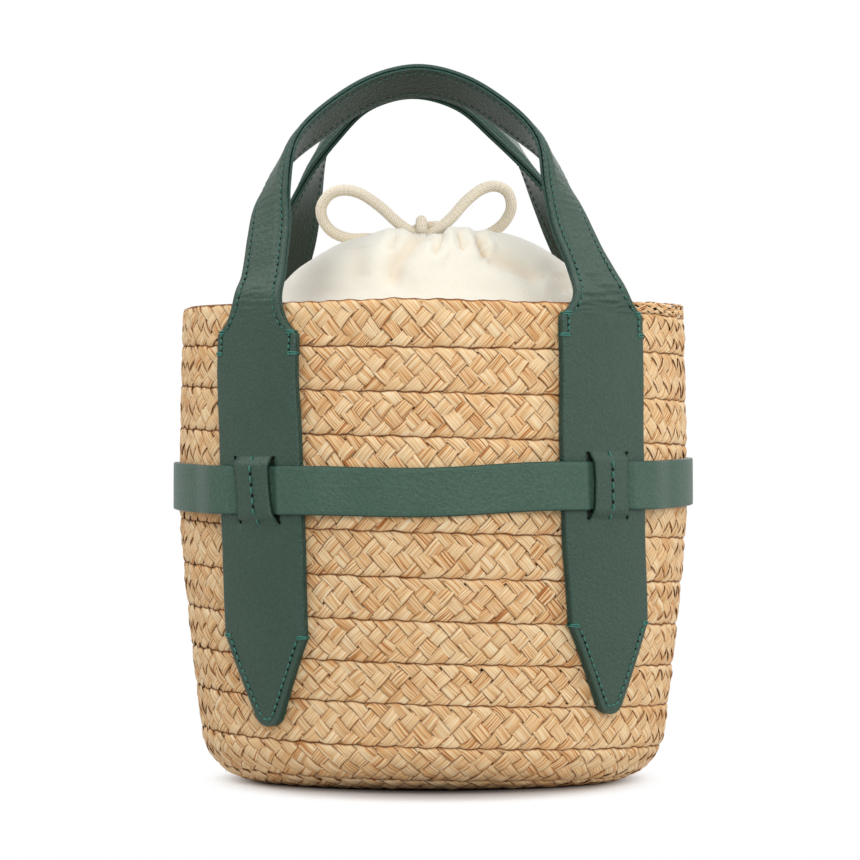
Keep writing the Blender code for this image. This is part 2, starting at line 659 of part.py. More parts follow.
# The drawstring's routes: each loop leaves the hem at the back and ends at the knot, and each tail
# leaves the knot and lies down the back of the crown.
LEFT_LOOP = (
    (0.0093, 0.0118, 0.2242), (0.0074, 0.0134, 0.2240), (0.0042, 0.0158, 0.2234),
    (0.0000, 0.0180, 0.2232), (-0.0045, 0.0196, 0.2240), (-0.0100, 0.0200, 0.2267),
    (-0.0155, 0.0187, 0.2292), (-0.0215, 0.0162, 0.2301), (-0.0285, 0.0128, 0.2301),
    (-0.0360, 0.0097, 0.2300), (-0.0430, 0.0080, 0.2326), (-0.0472, 0.0070, 0.2378),
    (-0.0478, 0.0062, 0.2435), (-0.0440, 0.0056, 0.2487), (-0.0375, 0.0050, 0.2504),
    (-0.0300, 0.0044, 0.2483), (-0.0222, 0.0034, 0.2428), (-0.0155, 0.0018, 0.2366),
    (-0.0106, 0.0008, 0.2331),
)
RIGHT_LOOP = (
    (-0.0093, 0.0118, 0.2242), (-0.0074, 0.0134, 0.2244), (-0.0048, 0.0154, 0.2270),
    (-0.0005, 0.0174, 0.2302), (0.0050, 0.0188, 0.2318), (0.0110, 0.0188, 0.2316),
    (0.0165, 0.0170, 0.2312), (0.0212, 0.0145, 0.2314), (0.0258, 0.0117, 0.2332),
    (0.0305, 0.0094, 0.2372), (0.0332, 0.0078, 0.2430), (0.0318, 0.0070, 0.2492),
    (0.0270, 0.0064, 0.2520), (0.0208, 0.0058, 0.2508), (0.0140, 0.0044, 0.2455),
    (0.0080, 0.0026, 0.2386), (0.0030, 0.0009, 0.2341),
)
LEFT_TAIL = (
    (-0.0066, 0.0068, 0.2358), (-0.0078, 0.0115, 0.2362), (-0.0095, 0.0170, 0.2352),
    (-0.0110, 0.0225, 0.2322), (-0.0128, 0.0275, 0.2283), (-0.0150, 0.0325, 0.2248),
    (-0.0185, 0.0385, 0.2207), (-0.0220, 0.0440, 0.2162),
)
RIGHT_TAIL = (
    (-0.0013, 0.0068, 0.2370), (0.0000, 0.0115, 0.2378), (0.0016, 0.0170, 0.2374),
    (0.0030, 0.0225, 0.2345), (0.0045, 0.0275, 0.2297), (0.0065, 0.0325, 0.2256),
    (0.0100, 0.0390, 0.2212), (0.0145, 0.0455, 0.2164),
)


def make_drawstring():
    """The bow: two loops that leave the hem and run into the knot, and two tails behind it."""
    for name, route in (("left_loop", LEFT_LOOP), ("right_loop", RIGHT_LOOP)):
        tube(f"drawstring_{name}", smooth_route(route, CORD_STEP), CORD, "cord", CORD_ROUND_SAMPLES)
    lump("drawstring_knot", np.array(KNOT_CENTRE), KNOT_SIZE)
    for name, route in (("left_tail", LEFT_TAIL), ("right_tail", RIGHT_TAIL)):
        points = smooth_route(route, CORD_STEP)
        tube(f"drawstring_{name}", points, CORD, "cord", CORD_ROUND_SAMPLES)
        onward = points[-1] - points[-2]
        centre = points[-1] + unit(onward) * (TAIL_KNOT / 2 + CLEARANCE)
        lump(f"drawstring_{name}_knot", centre, (TAIL_KNOT,) * 3)


def lump(name, centre, size):
    """A knot's rounded lump."""
    mesh = bpy.data.meshes.new(name)
    shell = bmesh.new()
    bmesh.ops.create_uvsphere(shell, u_segments=KNOT_SIDES, v_segments=KNOT_RINGS, radius=0.5)
    bmesh.ops.scale(shell, vec=size, verts=shell.verts)
    bmesh.ops.translate(shell, vec=centre, verts=shell.verts)
    shell.to_mesh(mesh)
    shell.free()
    mesh.shade_smooth()
    place(name, mesh, "cord")


def main():
    for old in list(bpy.data.objects):
        bpy.data.objects.remove(old, do_unlink=True)
    make_basket()
    make_belt()
    paths = {
        "front": handle_path(FRONT_SKEW, FRONT_SKEW_SHARE, 0.0),
        "back": handle_path(BACK_SKEW, BACK_SKEW_SHARE, BACK_PINCH),
    }
    for face, path in paths.items():
        make_handle(face, path, hinge_empty(face))
        for side, hand in ((-1, "left"), (1, "right")):
            make_tab(face, side, f"{face}_{hand}_tab")
            make_tab_threads(face, side, f"{face}_{hand}")
            make_neck(face, side, f"{face}_{hand}_neck", path)
    make_pouch_lining()
    make_pouch_crown()
    make_hem()
    make_drawstring()


main()
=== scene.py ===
# %% [markdown]
# A small oval basket bag: a tub sewn from one long straw plait, two leather handles that run down
# the wall as pointed tabs, a belt threaded through the tabs, and a cotton pouch that is drawn shut
# with a cord. The solids of the bag come in first as a fixed frame, and each later cell dresses one
# of its pieces.

# %% Load the frame
import math

import bpy
import numpy as np
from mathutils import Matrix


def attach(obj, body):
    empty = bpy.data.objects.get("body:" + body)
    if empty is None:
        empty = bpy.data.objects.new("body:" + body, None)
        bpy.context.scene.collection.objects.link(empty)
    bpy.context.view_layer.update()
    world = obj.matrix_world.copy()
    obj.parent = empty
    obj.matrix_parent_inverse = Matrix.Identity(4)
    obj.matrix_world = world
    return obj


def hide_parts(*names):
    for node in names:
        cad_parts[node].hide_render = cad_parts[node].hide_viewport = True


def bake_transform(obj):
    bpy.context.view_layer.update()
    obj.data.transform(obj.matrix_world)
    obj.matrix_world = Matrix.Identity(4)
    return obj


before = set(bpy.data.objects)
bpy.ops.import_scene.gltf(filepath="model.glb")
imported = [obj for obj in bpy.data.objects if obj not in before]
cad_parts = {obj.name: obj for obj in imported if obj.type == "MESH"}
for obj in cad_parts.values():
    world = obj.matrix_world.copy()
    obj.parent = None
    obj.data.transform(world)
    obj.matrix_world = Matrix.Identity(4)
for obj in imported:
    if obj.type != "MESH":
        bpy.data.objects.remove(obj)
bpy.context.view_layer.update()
UP = np.array([0.0, 0.0, 1.0])
TURN = 2 * math.pi
print("solids in the frame:", len(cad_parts))

# %% [markdown]
# Every new piece is a surface that numpy works out as one array of points. A mesh could be built
# face by face with bmesh, but whole arrays are quicker and keep the formula in sight. `put` turns
# them into an object and, where the surface is closed, uses its signed volume to see whether the
# faces point outwards.

# %% From arrays to objects
def put(name, points, quads, material, slot, uv=None, closed=True, **values):
    """A smooth object from points and quads; values are numbers for each point, kept by name."""
    points = np.asarray(points, np.float32).reshape(-1, 3)
    quads = np.asarray(quads, np.int32).reshape(-1, 4)
    if closed:
        a, b, c, d = (points[quads[:, corner]].astype(float) for corner in range(4))
        volume = np.sum(a * np.cross(b, c)) + np.sum(a * np.cross(c, d))
        quads = quads if volume > 0 else quads[:, ::-1]
    mesh = bpy.data.meshes.new(name)
    mesh.vertices.add(len(points))
    mesh.vertices.foreach_set("co", points.ravel())
    mesh.loops.add(quads.size)
    mesh.loops.foreach_set("vertex_index", quads.ravel())
    mesh.polygons.add(len(quads))
    mesh.polygons.foreach_set("loop_start", np.arange(0, quads.size, 4, dtype=np.int32))
    mesh.update(calc_edges=True)
    if uv is not None:
        layer = mesh.uv_layers.new(name="UVMap")
        layer.data.foreach_set("uv", np.asarray(uv, np.float32).reshape(-1, 2)[quads.ravel()].ravel())
    for key, value in values.items():
        attribute = mesh.attributes.new(key, "FLOAT", "POINT")
        attribute.data.foreach_set("value", np.asarray(value, np.float32).ravel())
    mesh.shade_smooth()
    mesh.materials.append(material)
    made = bpy.data.objects.new(name, mesh)
    bpy.context.scene.collection.objects.link(made)
    return made


def sweep_quads(stations, ring):
    """Quads of a profile of `ring` points carried past `stations` places, with closed ends: each
    end is filled by strips that join opposite points of the ring, whose count is even."""
    index = np.arange(stations * ring).reshape(stations, ring)
    beside = np.roll(index, -1, axis=1)
    sides = np.stack([index[:-1], beside[:-1], beside[1:], index[1:]], axis=-1).reshape(-1, 4)
    near = np.arange(ring // 2 - 1)
    cap = np.stack([near, ring - 1 - near, ring - 2 - near, near + 1], axis=-1)
    return np.concatenate([sides, cap, cap[:, ::-1] + index[-1, 0]])


def plate_quads(kept):
    """Quads of a sheet with thickness, from a grid of cells that are kept or left out as holes:
    the upper grid, the lower grid, and a wall along each edge that has no cell beside it."""
    rows, columns = kept.shape
    index = np.arange((rows + 1) * (columns + 1)).reshape(rows + 1, columns + 1)
    a, b, c, d = index[:-1, :-1], index[:-1, 1:], index[1:, 1:], index[1:, :-1]
    top = np.stack([a, b, c, d], axis=-1)[kept]
    around = np.pad(kept, 1)
    sides = (
        (a, b, around[:-2, 1:-1]), (b, c, around[1:-1, 2:]),
        (c, d, around[2:, 1:-1]), (d, a, around[1:-1, :-2]),
    )
    walls = []
    for near, far, beside in sides:
        edge = kept & ~beside
        wall = [far[edge], near[edge], near[edge] + index.size, far[edge] + index.size]
        walls.append(np.stack(wall, axis=-1))
    return np.concatenate([top, top[:, ::-1] + index.size, *walls])


def ease(t):
    """Smooth step from 0 to 1: 3t^2 - 2t^3 between them."""
    t = np.clip(t, 0.0, 1.0)
    return t * t * (3.0 - 2.0 * t)


def unit(vectors):
    """Vectors divided by their length."""
    return vectors / np.linalg.norm(vectors, axis=-1, keepdims=True)


SPAN_STEPS = 40


def smooth_route(route, step):
    """Evenly spaced points on the Catmull-Rom curve through the route's own points: between two of
    them, the cubic whose end slopes are half the chord of the neighbours."""
    route = np.asarray(route, dtype=float)
    padded = np.vstack([2 * route[0] - route[1], route, 2 * route[-1] - route[-2]])
    before, start, end, after = (padded[i:len(padded) - 3 + i, None] for i in range(4))
    t = np.linspace(0.0, 1.0, SPAN_STEPS, endpoint=False)[None, :, None]
    spans = (
        start * (2 * t**3 - 3 * t**2 + 1) + end * (3 * t**2 - 2 * t**3)
        + (end - before) / 2 * (t**3 - 2 * t**2 + t) + (after - start) / 2 * (t**3 - t**2)
    )
    dense = np.vstack([spans.reshape(-1, route.shape[1]), route[-1:]])
    return resample(dense, step)


def run_of(line):
    """Length from the line's start to each of its points."""
    return np.concatenate([[0.0], np.cumsum(np.linalg.norm(np.diff(line, axis=0), axis=1))])


def resample(line, step, *others):
    """Points at even steps along a line, and the values of other arrays there."""
    run = run_of(line)
    places = np.linspace(0.0, run[-1], max(2, round(run[-1] / step) + 1))
    found = [
        np.stack([np.interp(places, run, values[:, axis]) for axis in range(values.shape[1])], axis=1)
        for values in (line, *others)
    ]
    return found if others else found[0]


# %% [markdown]
# A finish is a small tree of shader nodes. Written node by node it hides the idea, so `Wire` wraps
# one socket: sums and products of wires add Math nodes, and `node` adds any other kind.

# %% Shader maths
class Wire:
    """A value on its way through a material's nodes."""

    def __init__(self, tree, socket=None):
        self.tree = tree
        self.socket = socket

    def node(self, kind, settings=None, inputs=None, output=0):
        """Adds a node, sets its settings, then fills its sockets with values or wires."""
        made = self.tree.nodes.new("ShaderNode" + kind)
        for key, value in (settings or {}).items():
            if key == "stops":
                ramp = made.color_ramp
                while len(ramp.elements) < len(value):
                    ramp.elements.new(1.0)
                for element, (place, colour) in zip(ramp.elements, value):
                    element.position = place
                    element.color = (*colour, 1.0)
            else:
                setattr(made, key, value)
        for key, value in (inputs or {}).items():
            self.fill(made.inputs[key], value)
        return Wire(self.tree, made.outputs[output])

    def fill(self, socket, value):
        if isinstance(value, Wire):
            self.tree.links.new(value.socket, socket)
        else:
            socket.default_value = value

    def maths(self, operation, first, second=0.0):
        return self.node("Math", {"operation": operation}, {0: first, 1: second})

    def __add__(self, other):
        return self.maths("ADD", self, other)

    def __radd__(self, other):
        return self.maths("ADD", other, self)

    def __sub__(self, other):
        return self.maths("SUBTRACT", self, other)

    def __rsub__(self, other):
        return self.maths("SUBTRACT", other, self)

    def __mul__(self, other):
        return self.maths("MULTIPLY", self, other)

    def __rmul__(self, other):
        return self.maths("MULTIPLY", other, self)

    def value(self, name):
        """A number kept on the mesh's points."""
        return self.node("Attribute", {"attribute_name": name}, output=2)

    def place(self):
        """Object coordinates."""
        return self.node("TexCoord", output=3)

    def axis(self, vector, number):
        """One of a vector's three numbers."""
        return self.node("SeparateXYZ", None, {0: vector}, output=number)

    def between(self, value, ends, **settings):
        """0 at the first end of a range and 1 at the other, and held there beyond them."""
        inputs = {"Value": value, "From Min": ends[0], "From Max": ends[1]}
        return self.node("MapRange", settings, inputs)

    def noise(self, vector, scale, detail=2.0):
        return self.node("TexNoise", None, {"Vector": vector, "Scale": scale, "Detail": detail})

    def mix(self, share, first, second):
        """Colours mixed by a share from 0 to 1."""
        inputs = {0: share, 6: (*first, 1.0) if isinstance(first, tuple) else first}
        inputs[7] = (*second, 1.0) if isinstance(second, tuple) else second
        return self.node("Mix", {"data_type": "RGBA"}, inputs, output=2)

    def bump(self, height, distance, strength=1.0):
        return self.node("Bump", None, {"Height": height, "Distance": distance, "Strength": strength})

    def spread(self, vector, x, y, z):
        """A vector stretched along its axes."""
        return self.node("VectorMath", {"operation": "MULTIPLY"}, {0: vector, 1: (x, y, z)})


def finish(name, paint, **fixed):
    """A material: `paint` gives the sockets that vary, and the fixed ones are set directly."""
    material = bpy.data.materials.new(name)
    material.use_nodes = True
    shader = material.node_tree.nodes["Principled BSDF"]
    wire = Wire(material.node_tree)
    for key, value in {**fixed, **paint(wire)}.items():
        wire.fill(shader.inputs[key.replace("_", " ")], value)
    return material


# %% [markdown]
# The picture is taken from straight ahead, with a long lens at the height of the belt, on a white
# ground. The lens and the camera's distance follow from the size of the tub in the frame. Large
# soft lamps stand where a studio has its boxes. The ground is a white disc that fades out into a
# white world, so that only the shadow by the tub tells where it is: the lamps cast a real one, and
# a dark contact shadow is painted into the ground's colour round the tub's footprint.

# %% Camera, lamps and ground
EYE_DISTANCE = 1.6
EYE_HEIGHT = 0.148
EYE_SHIFT = -0.0013
EYE_TURN = math.radians(1.35)
LENS = 157.5
CLIP = (0.05, 20.0)
AIM = np.array([0.0, 0.0, 0.13])
LAMPS = {
    "key_box": ((0.40, -1.65, 0.80), 0.8, 10.5),
    "side_box": ((1.60, -0.45, 0.20), 0.8, 3.2),
    "left_box": ((-0.85, -0.30, 1.60), 1.0, 11.0),
    "right_box": ((0.85, -0.30, 1.60), 1.0, 8.0),
    "back_box": ((0.30, 1.50, 0.90), 1.0, 4.0),
}

lens = bpy.data.cameras.new("camera")
lens.lens = LENS
lens.clip_start, lens.clip_end = CLIP
camera = bpy.data.objects.new("camera", lens)
camera.location = (
    EYE_SHIFT + EYE_DISTANCE * math.sin(EYE_TURN), -EYE_DISTANCE * math.cos(EYE_TURN), EYE_HEIGHT,
)
camera.rotation_euler = (math.pi / 2, 0.0, EYE_TURN)
bpy.context.scene.collection.objects.link(camera)
bpy.context.scene.camera = camera
bpy.context.scene.view_settings.view_transform = "Standard"


def lamp(name, place, size, power):
    """A square soft box that faces the bag."""
    data = bpy.data.lights.new(name, "AREA")
    data.size = size
    data.energy = power
    made = bpy.data.objects.new(name, data)
    made.location = place
    away = np.array(place) - AIM
    made.rotation_euler = (math.acos(away[2] / np.linalg.norm(away)), 0.0,
                           math.atan2(away[1], away[0]) + math.pi / 2)
    bpy.context.scene.collection.objects.link(made)


for name, settings in LAMPS.items():
    lamp(name, *settings)

world = bpy.data.worlds.new("studio")
world.use_nodes = True
sky = Wire(world.node_tree)
ray = {name: sky.node("LightPath", output=output)
       for name, output in (("camera", 0), ("glossy", 3), ("transmission", 6))}
seen = sky.maths("MINIMUM", ray["camera"] + ray["glossy"] + ray["transmission"], 1.0)
AMBIENT = 0.60
white = world.node_tree.nodes["Background"]
white.inputs["Color"].default_value = (1.0, 1.0, 1.0, 1.0)
sky.fill(white.inputs["Strength"], AMBIENT + (1.0 - AMBIENT) * seen)
bpy.context.scene.world = world

GROUND = 0.9
FOOTPRINT = (0.048, 0.060)
GROUND_CLEAR = (1.5, 2.1)
PAINTED_SHADOW_REACH = (0.95, 1.95)
PAINTED_CONTACT_SHADOW = (0.12, 0.10, 0.09)
GROUND_WHITE = (0.93, 0.93, 0.93)


def paint_ground(wire):
    """White, with a painted contact shadow close to the oval where the tub stands, fading out around
    it.
    """
    place = wire.spread(wire.place(), 1 / FOOTPRINT[0], 1 / FOOTPRINT[1], 1.0)
    far = wire.node("VectorMath", {"operation": "LENGTH"}, {0: place}, output=1)
    near = wire.between(far, GROUND_CLEAR[::-1], interpolation_type="SMOOTHSTEP")
    # Painted contact shadow: the ground darkens close to where the tub stands.
    lit = wire.between(far, PAINTED_SHADOW_REACH)
    return {"Alpha": near, "Base_Color": wire.mix(lit, PAINTED_CONTACT_SHADOW, GROUND_WHITE)}


ground_finish = finish("ground", paint_ground, Roughness=0.9, Specular_IOR_Level=0.0)
corners = [(-GROUND, -GROUND, 0), (GROUND, -GROUND, 0), (GROUND, GROUND, 0), (-GROUND, GROUND, 0)]
mesh = bpy.data.meshes.new("ground")
mesh.from_pydata(corners, [], [(0, 1, 2, 3)])
mesh.materials.append(ground_finish)
ground = bpy.data.objects.new("ground", mesh)
bpy.context.scene.collection.objects.link(ground)
print("camera", EYE_DISTANCE, "m away with a lens of", LENS, "mm")

# %% [markdown]
# The drawstring is a soft cotton cord of about 5 mm, tied in a bow whose loops lie on the gathered
# cloth and whose tails hang down behind. A curve with a round bevel would be too smooth, because
# such a cord is plaited, so the tube's radius follows the plait: two sets of strands that wind
# round it in opposite directions. The loops take the routes of the solids, and the tails leave the
# knot a little lower than theirs.

# %% The drawstring's finish and its plaited tube
CORD = 0.0048
CORD_SIDES = 36
CORD_PITCH = 0.0019
CORD_STRANDS = 12
CORD_RELIEF = 0.10
CORD_STEP = 0.0004
CORD_LIGHT = (1.0, 0.93, 0.78)
CORD_SHADE = (0.72, 0.61, 0.44)


def paint_cord(wire):
    uv = wire.node("UVMap")
    yarn = wire.noise(wire.spread(uv, 2.5, 1.0, 1.0), 1400.0)
    # Painted shade in the grooves between the strands, mixed with the yarn's own unevenness.
    tone = wire.value("groove") * 0.9 + yarn * 0.25
    colour = wire.mix(tone, CORD_LIGHT, CORD_SHADE)
    return {"Base_Color": colour, "Normal": wire.bump(yarn, 0.0002, 0.5)}


cord_finish = finish("plaited_cotton_cord", paint_cord, Roughness=0.85, Sheen_Weight=0.25)


def plaited_tube(name, line, beside, radius=CORD / 2):
    """A cord along a line. Its radius is r (1 - relief groove), where the groove is 0 on a strand:
    1 - max |cos(n a/2 + kx), cos(n a/2 - kx)| for the angle a round it and the length x along it.
    `beside` is a direction that the line never takes."""
    along = unit(np.gradient(line, axis=0))
    out = unit(np.cross(along, beside))
    over = np.cross(along, out)
    angle = np.linspace(0.0, TURN, CORD_SIDES, endpoint=False)[None, :]
    length = run_of(line)[:, None]
    wind = TURN / 2 * length / CORD_PITCH
    strands = CORD_STRANDS / 2 * angle
    groove = 1 - np.maximum(np.abs(np.cos(strands + wind)), np.abs(np.cos(strands - wind)))
    reach = (radius * (1.0 - CORD_RELIEF * 2 * groove))[:, :, None]
    spokes = np.cos(angle)[..., None] * out[:, None] + np.sin(angle)[..., None] * over[:, None]
    uv = np.stack([length + 0 * angle, radius * angle + 0 * length], axis=-1)
    quads = sweep_quads(len(line), CORD_SIDES)
    points = line[:, None] + spokes * reach
    return put(name, points, quads, cord_finish, "cord", uv, groove=2 * groove)


# %% [markdown]
# The bow is one cord that leaves the hem at both ends, makes a loop on each side and is held by a
# knot. A simulated cord would fall somewhere else, so each loop is a smooth curve through a few
# points that follow the loop one sees. The tails end in small knots of their own.

# %% The bow
LEFT_LOOP = (
    (0.0093, 0.0118, 0.2242), (0.0074, 0.0134, 0.2240), (0.0042, 0.0158, 0.2234),
    (0.0000, 0.0180, 0.2232), (-0.0045, 0.0196, 0.2240), (-0.0100, 0.0200, 0.2267),
    (-0.0155, 0.0187, 0.2292), (-0.0215, 0.0162, 0.2301), (-0.0285, 0.0128, 0.2301),
    (-0.0360, 0.0097, 0.2300), (-0.0430, 0.0080, 0.2326), (-0.0472, 0.0070, 0.2378),
    (-0.0478, 0.0062, 0.2435), (-0.0440, 0.0056, 0.2487), (-0.0375, 0.0050, 0.2504),
    (-0.0300, 0.0044, 0.2483), (-0.0222, 0.0034, 0.2428), (-0.0155, 0.0018, 0.2366),
    (-0.0106, 0.0008, 0.2331), (-0.0060, 0.0004, 0.2308),
)
RIGHT_LOOP = (
    (-0.0093, 0.0118, 0.2242), (-0.0074, 0.0134, 0.2244), (-0.0048, 0.0154, 0.2270),
    (-0.0005, 0.0174, 0.2302), (0.0050, 0.0188, 0.2318), (0.0110, 0.0188, 0.2316),
    (0.0165, 0.0170, 0.2312), (0.0212, 0.0145, 0.2314), (0.0258, 0.0117, 0.2332),
    (0.0305, 0.0094, 0.2372), (0.0332, 0.0078, 0.2430), (0.0318, 0.0070, 0.2492),
    (0.0270, 0.0064, 0.2520), (0.0208, 0.0058, 0.2508), (0.0140, 0.0044, 0.2455),
    (0.0080, 0.0026, 0.2386), (0.0030, 0.0009, 0.2341), (-0.0020, 0.0004, 0.2308),
)
LEFT_TAIL = (
    (-0.0062, 0.0068, 0.2340), (-0.0074, 0.0115, 0.2338), (-0.0093, 0.0170, 0.2330),
    (-0.0110, 0.0225, 0.2312), (-0.0128, 0.0275, 0.2280), (-0.0150, 0.0325, 0.2248),
    (-0.0185, 0.0385, 0.2207), (-0.0220, 0.0440, 0.2162),
)
RIGHT_TAIL = (
    (-0.0014, 0.0068, 0.2348), (-0.0002, 0.0115, 0.2352), (0.0014, 0.0170, 0.2353),
    (0.0030, 0.0225, 0.2333), (0.0045, 0.0275, 0.2294), (0.0065, 0.0325, 0.2256),
    (0.0100, 0.0390, 0.2212), (0.0145, 0.0455, 0.2164),
)
KNOT_CENTRE = np.array([-0.0050, 0.0005, 0.2333])
KNOT_COIL = 0.0037
KNOT_CORD = 0.0048
KNOT_TUCK = 0.12
KNOT_STEPS = 160
TAIL_KNOT = 0.0085
TAIL_KNOT_CORD = 0.0034
TAIL_KNOT_STEPS = 140
TAIL_AIM = 8
BESIDE = {
    "knot": (0.97, 0.17, 0.17), "loop": (0.05, 1.0, 0.2),
    "tail": (1.0, 0.1, 0.0), "tail_knot": (0.2, 0.1, 1.0),
}


def knot_line():
    """One wrap round the bow's waist: a circle about X whose two ends draw in to its axis."""
    t = np.linspace(-0.5, 0.5, KNOT_STEPS)
    tuck = ease((0.5 - np.abs(t)) / KNOT_TUCK) * KNOT_COIL
    turn = TURN * t + math.pi / 2
    ring = np.stack([KNOT_CORD / 4 * t, tuck * np.cos(turn), tuck * np.sin(turn)], axis=1)
    return KNOT_CENTRE + ring


def tail_knot_line(centre):
    """A trefoil: (sin t + 2 sin 2t, cos t - 2 cos 2t, -sin 3t), scaled to the knot's size."""
    t = np.linspace(0.0, TURN, TAIL_KNOT_STEPS)
    shape = [np.sin(t) + 2 * np.sin(2 * t), np.cos(t) - 2 * np.cos(2 * t), -np.sin(3 * t)]
    return centre + np.stack(shape, axis=1) * (TAIL_KNOT - TAIL_KNOT_CORD) / 6


def bow_piece(name, route, beside):
    """One free stretch of the cord, whose measured length is printed."""
    line = smooth_route(route, CORD_STEP)
    piece = plaited_tube(name, line, beside)
    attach(piece, "bag")
    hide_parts(name.replace("cord_", "drawstring_"))
    length = float(run_of(line)[-1])
    print(name, "is", round(length * 1000), "mm long")


knot = plaited_tube("cord_knot", knot_line(), BESIDE["knot"], KNOT_CORD / 2)
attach(knot, "bag")
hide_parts("drawstring_knot")
bow_piece("cord_left_loop", LEFT_LOOP, BESIDE["loop"])
bow_piece("cord_right_loop", RIGHT_LOOP, BESIDE["loop"])
for hand, route in (("left", LEFT_TAIL), ("right", RIGHT_TAIL)):
    end = smooth_route(route, CORD_STEP)
    centre = end[-1] + unit(end[-1] - end[-TAIL_AIM]) * TAIL_KNOT / 2
    stop = plaited_tube(f"cord_{hand}_tail_knot", tail_knot_line(centre), BESIDE["tail_knot"],
                        TAIL_KNOT_CORD / 2)
    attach(stop, "bag")
    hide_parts(f"drawstring_{hand}_tail_knot")
    bow_piece(f"cord_{hand}_tail", route, BESIDE["tail"])

# %% [markdown]
# The tub is an oval whose wall widens upwards from a rounded base. All that lies on it, plait and
# tabs and belt, is placed by the same skin: the angle round the oval, the height, and the distance
# out of the wall's face.

# %% The tub's skin
TUB_WIDTH = 0.216
TUB_DEPTH = 0.168
TUB_HEIGHT = 0.200
BASE_CORNER = 0.020
WIDEST_HEIGHT = 0.115
BASE_TAPER = 0.012
TAPER_POWER = 1.25
RIM_DRAW_IN = 0.0015
TAB_SHARE = 0.6528
TAB_ANGLE = math.asin(TAB_SHARE)


def side_inset(z):
    """How far the side has drawn in from its widest line: a taper below, a soft curve above."""
    below = np.clip((WIDEST_HEIGHT - z) / WIDEST_HEIGHT, 0.0, None) ** TAPER_POWER
    above = np.clip((z - WIDEST_HEIGHT) / (TUB_HEIGHT - WIDEST_HEIGHT), 0.0, None) ** 2
    return BASE_TAPER * below + RIM_DRAW_IN * above


def half_axes(z, out):
    """Half width and half depth at a height, of a skin that lies `out` beyond the wall's face."""
    radius = BASE_CORNER + out
    rise = np.clip(BASE_CORNER - z, 0.0, radius)
    inset = side_inset(z) + radius - np.sqrt(radius**2 - rise**2) - out
    return TUB_WIDTH / 2 - inset, TUB_DEPTH / 2 - inset


def skin(angle, z, out):
    """Points (A cos a, B sin a, z) of that skin."""
    half_width, half_depth = half_axes(z, out)
    points = [half_width * np.cos(angle), half_depth * np.sin(angle), z + 0 * angle + 0 * out]
    return np.stack(np.broadcast_arrays(*points), axis=-1)


print("tub at the rim:", [round(2000 * float(half)) for half in half_axes(TUB_HEIGHT, 0.0)], "mm")

# %% [markdown]
# The plait is what the eye takes for straw: five flat strands, each going over one and under the
# next, sewn edge to edge in a spiral from the middle of the base to the rim. A bump texture would
# fall flat at the rim and in raking light, so every strand is a real ribbon. Along the plait a
# strand swings from the top edge to the bottom edge and back, as a rounded zigzag, and lifts over
# its neighbours as a cosine whose phase turns by half a turn from one crossing to the next.

# %% Straw
# The colour of the painted shade under, beside and between the strands.
STRAW_SHADE = (0.19, 0.058, 0.014)
STRAW_STOPS = (
    (0.06, (0.39, 0.130, 0.035)), (0.27, (0.69, 0.370, 0.150)),
    (0.44, (0.78, 0.515, 0.260)), (0.90, (0.92, 0.745, 0.490)),
)
FIBRE_SCALE = (55.0, 2300.0)
BUNDLE_SCALE = (25.0, 350.0)
SUNK = (0.42, 0.02)
SUNK_SHADE = 0.7
SIDE = (0.80, 0.97)
SIDE_SHADE = 0.85
SEWN = (0.99, 1.05)
SEWN_SHADE = 0.95
FRAYED = 0.11


def paint_straw(wire):
    """Fine fibres and bundles of them along each strand, and painted shade where it dips under
    another, at its own sides, and in the groove where two rows are sewn together."""
    uv = wire.node("UVMap")
    along = wire.axis(uv, 0)
    across = wire.axis(uv, 1)

    def streaks(scale, detail):
        place = {0: along * scale[0], 1: across * scale[1], 2: wire.value("strand")}
        return wire.noise(wire.node("CombineXYZ", None, place), 1.0, detail)

    fibre = streaks(FIBRE_SCALE, 4.0)
    fold = streaks(BUNDLE_SCALE, 1.0)
    tone = fibre * 2.3 + fold * 0.35 + wire.value("tone") * 0.22 - 0.96
    ramp = wire.node("ValToRGB", {"stops": STRAW_STOPS}, {0: tone})
    # Painted shade: darker where a strand dips under another, at its sides, and in the groove between
    # rows.
    shade_where_sunk = wire.between(wire.value("depth"), SUNK) * SUNK_SHADE
    side = wire.between(wire.value("rim"), SIDE) * SIDE_SHADE
    sewn = wire.between(wire.value("sewn") + fold * FRAYED, SEWN) * SEWN_SHADE
    dark = wire.maths("MAXIMUM", wire.maths("MAXIMUM", shade_where_sunk, side), sewn)
    return {"Base_Color": wire.mix(dark, ramp, STRAW_SHADE), "Roughness": 0.72 - 0.2 * fibre,
            "Normal": wire.bump(fibre * 0.6 + fold, 0.0005, 0.55)}


straw_finish = finish("plaited_straw", paint_straw, Specular_IOR_Level=0.12)
print("straw:", len(straw_finish.node_tree.nodes), "shader nodes")

# %% [markdown]
# The plait starts at the rim and winds down the wall to the middle of the base. Its rows could be
# plain rings, but a sewn spiral slants, and its rows differ a little in height. So its upper edge
# is a curve over the turns, laid on the wall's profile, and each row begins where the last one ends.

# %% The plait's course on the tub
SPIRAL_STEPS = 600
FRONT_TURN = 1.0 - TAB_ANGLE / TURN
FRONT_SPAN = 0.22
RIM = (
    (0.0, -0.0010), (0.62, 0.0009), (0.79, 0.0002), (0.87, -0.0013), (0.972, 0.0004), (1.032, 0.0034),
)
ROW_WAVES = ((73, 0.00022), (31, 0.00018))
ROW_DROPS = (0.0, 0.0185, 0.0367, 0.0548, 0.0740, 0.0935, 0.1120, 0.1298, 0.1471, 0.1640, 0.1818)
ROW_SLANTS = (0.0047, 0.0085, 0.0142, 0.0160)
ROW_PITCH = 0.0182
BASE_ROWS = 5
PLAIT_TURNS = 13.6
PLAIT_DEPTH = 0.0009
ABOVE_RIM = 0.005
WALL_STEPS = 180
CORNER_STEPS = 60
BASE_STEPS = 50


